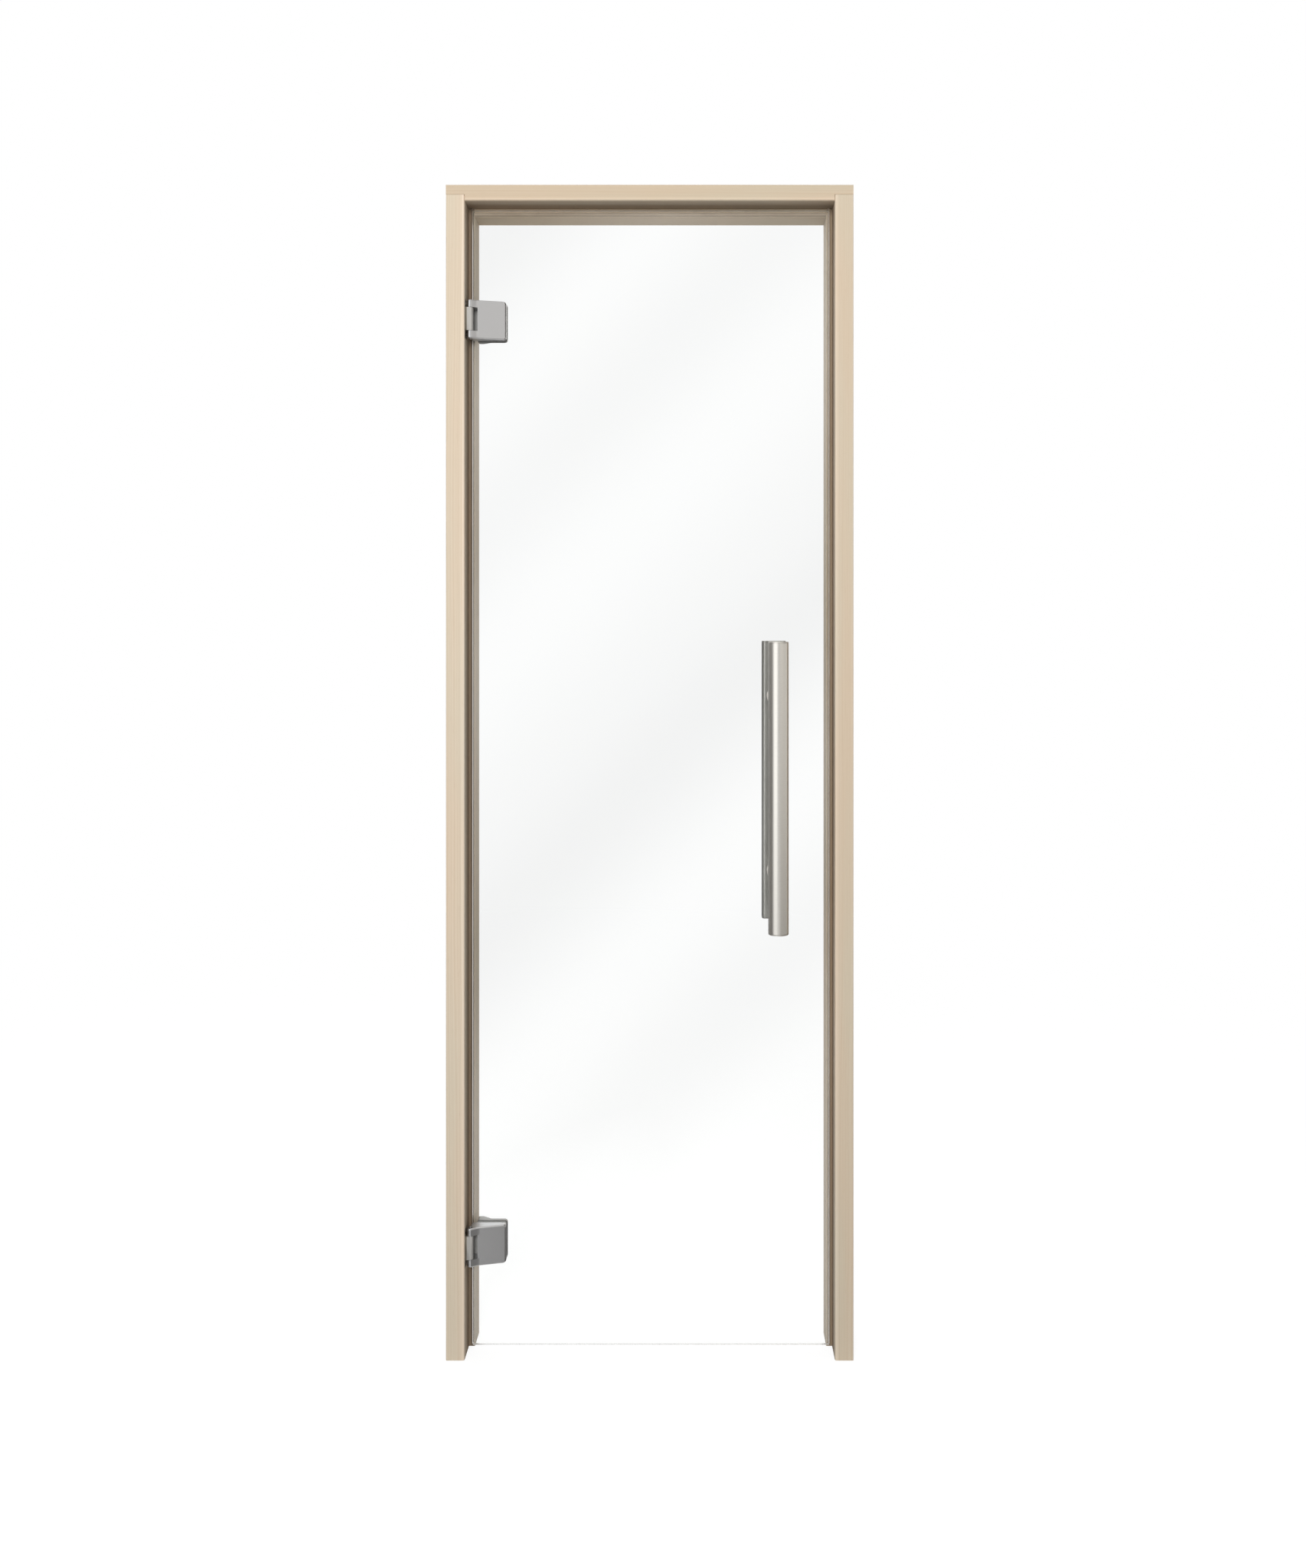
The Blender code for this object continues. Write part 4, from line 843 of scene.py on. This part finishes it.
for level in ("upper", "lower"):
    node = level + "_outer_post"
    post = skin(level + "_outer_stand_off", coped_post_rings(node), tube_steel)
    settle(post, "leaf", "handle_steel", node)

    node = level + "_inner_post"
    middle, size = centre_of(node)
    radius = size[0] / 2
    reach = size[1]
    profile = np.concatenate([[(0.0, 0.0)], quarter(radius - POST_EDGE, POST_EDGE, POST_EDGE, -90, 0, 4),
                              quarter(radius - POST_EDGE, reach - POST_EDGE, POST_EDGE, 0, 90, 4),
                              [(0.0, reach)]])
    foot = middle - np.array([0.0, reach / 2, 0.0])
    post = turned(level + "_inner_stand_off", profile, foot, (0, 1, 0), tube_steel, POST_AROUND)
    settle(post, "leaf", "handle_steel", node)

    for side, sign in (("outer", -1), ("inner", 1)):
        node = f"{level}_{side}_washer"
        middle, size = centre_of(node)
        rim = size[0] / 2
        profile = np.concatenate([
            [(0.0, 0.0)], quarter(rim - WASHER_HEEL, WASHER_HEEL, WASHER_HEEL, -90, 0, 3),
            quarter(rim - WASHER_RIM, size[1] - WASHER_RIM, WASHER_RIM, 0, 90), [(0.0, size[1])]])
        foot = middle - np.array([0.0, sign * size[1] / 2, 0.0])
        washer = turned(f"{level}_{side}_rosette", profile, foot, (0, sign, 0), tube_steel, POST_AROUND)
        settle(washer, "leaf", "handle_steel", node)

# %% [markdown]
# ## Hinges
# The hinge is the skilled part of this door. Its outer half is a cast wedge: seen from above, a round barrel
# about the pin widens into a plate whose front slopes back to a thin free end. A slot in the middle of its
# height takes the knuckle of the fixed half, and leaves a lug above and below. The outer and the inner clamp
# are stacks of plan outlines up the hinge's height, and only two things change with height: the rounded
# edges, and the slot's straight wall in place of the barrel. Booleans cut the bores and the sinkings, as a
# drill would.

# %% Hinge heights
HINGE_ROUNDING = 0.0022
HINGE_CORNER = 0.005
SLOT_HALF = 0.020
SLOT_EDGE = 0.0004

pivot = np.array(frame["joints"][0]["pos_m"])


def rounded_heights(half, corner, steps=14):
    """Heights from -half to half, close together near the ends as on an arc of the corner's radius."""
    rise = half - corner + corner * np.sin(np.radians(np.linspace(0, 90, steps)))
    return np.concatenate([-rise[::-1], rise])


def pull_in(heights, half, radius):
    """How far an edge of this radius has come in at each height: radius minus the arc's own reach there."""
    past = np.clip(np.abs(heights) - (half - radius), 0.0, radius)
    return radius - np.sqrt(np.maximum(radius ** 2 - past ** 2, 0.0))


def tangent_line(point, radius, side):
    """Where the tangent from a point touches a circle about the origin.

    The touch point lies at the point's own angle, plus or minus the arc cosine of radius over distance.
    """
    angle = math.atan2(point[1], point[0]) + side * math.acos(radius / math.hypot(*point))
    return np.array([math.cos(angle), math.sin(angle)]) * radius


def meets_left_of(point, touch, x):
    """Where the line from a point through its touch point reaches the upright line at x."""
    share = (x - point[0]) / (touch[0] - point[0])
    return np.array([x, point[1] + share * (touch[1] - point[1])])


# %% Outer clamps
SLOT_END = 0.012
REAR_CORNER = 0.0015             # pivot to the rear edge beside the reveal
SLOT_DROP = 0.0008               # front plane behind the pivot, beside the slot
FREE_END = 0.008                 # thickness at the free end
END_ROUNDING = 0.0036            # front arris of the free end
VALLEY_ROUNDING = 0.024          # where each lug's front runs into the plate's
PIN_BORE = 0.0028


def outer_clamp_rings(node):
    """Plan outlines of the outer clamp up its height, with the lugs' barrel or else the slot's wall.

    They are worked out about the pivot and moved there at the end. At both ends of the slot the outline is
    given twice, once as a lug's and once as the slot's, which makes the lug's flat face.
    """
    low, high = np.array(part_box(node))
    middle_height = (low[2] + high[2]) / 2
    half_height = (high[2] - low[2]) / 2
    barrel = pivot[0] - low[0]
    end = high[0] - pivot[0]
    back = high[1] - pivot[1]
    rear = (REAR_CORNER, back)
    beside_slot = (SLOT_END, SLOT_DROP)
    lug = np.array([rear, meets_left_of(rear, tangent_line(rear, barrel, 1), -barrel),
                    meets_left_of(beside_slot, tangent_line(beside_slot, barrel, -1), -barrel),
                    beside_slot, (end, back - FREE_END), (end, back)])
    slot = lug.copy()
    slot[:3, 0] = SLOT_END
    slot[:3, 1] = back - (back - SLOT_DROP) * np.array([0.0, 0.3, 0.6])
    heights = rounded_heights(half_height, HINGE_CORNER)
    heights = np.sort(np.concatenate([heights, [-SLOT_HALF, -SLOT_HALF, SLOT_HALF, SLOT_HALF]]))
    in_slot = np.abs(heights) <= SLOT_HALF
    doubled = np.flatnonzero(np.isclose(np.abs(heights), SLOT_HALF))
    in_slot[[doubled[0], doubled[-1]]] = False
    edge = pull_in(heights, half_height, HINGE_ROUNDING)
    tip = pull_in(heights, half_height, HINGE_CORNER)
    corners = np.where(in_slot[:, None, None], slot, lug)
    none = np.zeros_like(edge)
    distances = np.stack([edge, edge, edge, edge, tip, none], axis=1)
    distances[in_slot, :3] = 0.0
    round_barrel = np.where(in_slot, 0.0, barrel - edge)
    valley = np.where(in_slot, SLOT_EDGE, VALLEY_ROUNDING)
    radii = np.stack([none, round_barrel, round_barrel, valley,
                      np.full_like(edge, END_ROUNDING), none], axis=1)
    plan = filleted(inset(corners, distances), radii) + pivot[:2]
    return raised(plan, middle_height + heights)


def drill(piece, holes):
    """Cut round holes: each has a middle, a direction, a radius and a depth, and is a turned cutter."""
    for index, (middle, direction, radius, depth) in enumerate(holes):
        start = np.asarray(middle) - np.asarray(direction) * depth / 2
        bit = turned("drill", [(0.0, 0.0), (radius, 0.0), (radius, depth), (0.0, depth)], start,
                     direction, piece.data.materials[0], 48)
        cut = piece.modifiers.new(f"hole_{index}", "BOOLEAN")
        cut.operation = "DIFFERENCE"
        cut.solver = "EXACT"
        cut.object = bit
    graph = bpy.context.evaluated_depsgraph_get()
    drilled = bpy.data.meshes.new_from_object(piece.evaluated_get(graph))
    bits = [modifier.object for modifier in piece.modifiers]
    piece.modifiers.clear()
    piece.data = drilled
    for bit in bits:
        bpy.data.objects.remove(bit)
    weld(piece)


for level in ("upper", "lower"):
    node = level + "_outer_clamp"
    middle, size = centre_of(node)
    clamp = skin(level + "_hinge_front", outer_clamp_rings(node), hinge_steel)
    drill(clamp, [((pivot[0], pivot[1], middle[2]), (0, 0, 1), PIN_BORE, size[2] * 1.5)])
    settle(clamp, "leaf", "hinge_steel", node)

# %% Inner clamps
ROOT_LENGTH = 0.009
SLOPE_LENGTH = 0.014
PLATE_THICKNESS = 0.0084
SCREW_FROM_END = 0.021
SCREW_SPACING = 0.038
SCREW_SINKING = 0.0050
SCREW_SINK_DEPTH = 0.0045


def inner_clamp_rings(node):
    """Plan outlines of the inner clamp up its height: a thick root by the stop, and a slope to a plate."""
    low, high = np.array(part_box(node))
    half_height = (high[2] - low[2]) / 2
    plate = low[1] + PLATE_THICKNESS
    root = low[0] + ROOT_LENGTH
    corners = np.array([(low[0], low[1]), (high[0], low[1]), (high[0], plate),
                        (root + SLOPE_LENGTH, plate), (root, high[1]), (low[0], high[1])])
    heights = rounded_heights(half_height, HINGE_CORNER)
    edge = pull_in(heights, half_height, HINGE_ROUNDING)
    tip = pull_in(heights, half_height, HINGE_CORNER)
    none = np.zeros_like(edge)
    distances = np.stack([none, tip, edge, edge, edge, edge], axis=1)
    rounding = np.full_like(edge, HINGE_ROUNDING)
    radii = np.stack([none, none, rounding, 2.0 * rounding, rounding, rounding], axis=1)
    plan = filleted(inset(np.repeat(corners[None], len(heights), axis=0), distances), radii)
    return raised(plan, (low[2] + high[2]) / 2 + heights)


for level in ("upper", "lower"):
    node = level + "_inner_clamp"
    low, high = np.array(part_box(node))
    clamp = skin(level + "_hinge_back", inner_clamp_rings(node), back_steel)
    face = low[1] + PLATE_THICKNESS
    holes = []
    for sign in (1, -1):
        height = (low[2] + high[2]) / 2 + sign * SCREW_SPACING / 2
        spot = np.array([high[0] - SCREW_FROM_END, face, height])
        holes.append((spot, (0, 1, 0), SCREW_SINKING, 2 * SCREW_SINK_DEPTH))
    drill(clamp, holes)
    settle(clamp, "leaf", "hinge_steel", node)

# %% [markdown]
# ## Small steel pieces
# Screws, pins, studs and the let-in hinge plates already have the right shape. A copy of each, with its
# loose triangles merged, can be shaded smooth between its sharp edges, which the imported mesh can't.

# %% Smooth copies
def smooth_copy(node, name, body, slot, material):
    """A merged and smoothly shaded copy of a CAD node that stands in for it."""
    piece = bpy.data.objects.new(name, nodes[node].data.copy())
    scene.collection.objects.link(piece)
    piece.data.materials.clear()
    piece.data.materials.append(material)
    weld(piece, distance=0.00001, sharp_degrees=34)
    settle(piece, body, slot, node)


for node in sorted(nodes):
    if node.endswith("_hinge_bracket"):
        smooth_copy(node, node.replace("_bracket", "_plate"), "frame", "hinge_steel", plate_metal)
    elif node.endswith("_hinge_pin") or "_wood_screw_" in node:
        smooth_copy(node, node + "_smooth", "frame", "fixings", screw_steel)
    elif "_clamp_screw_" in node or node.endswith("_handle_stud"):
        smooth_copy(node, node + "_smooth", "leaf", "fixings", screw_steel)
    elif node.endswith("_seal"):
        smooth_copy(node, node + "_strip", "frame", "seal", seal_painted_shade if "hinge" in node else seal_beige)
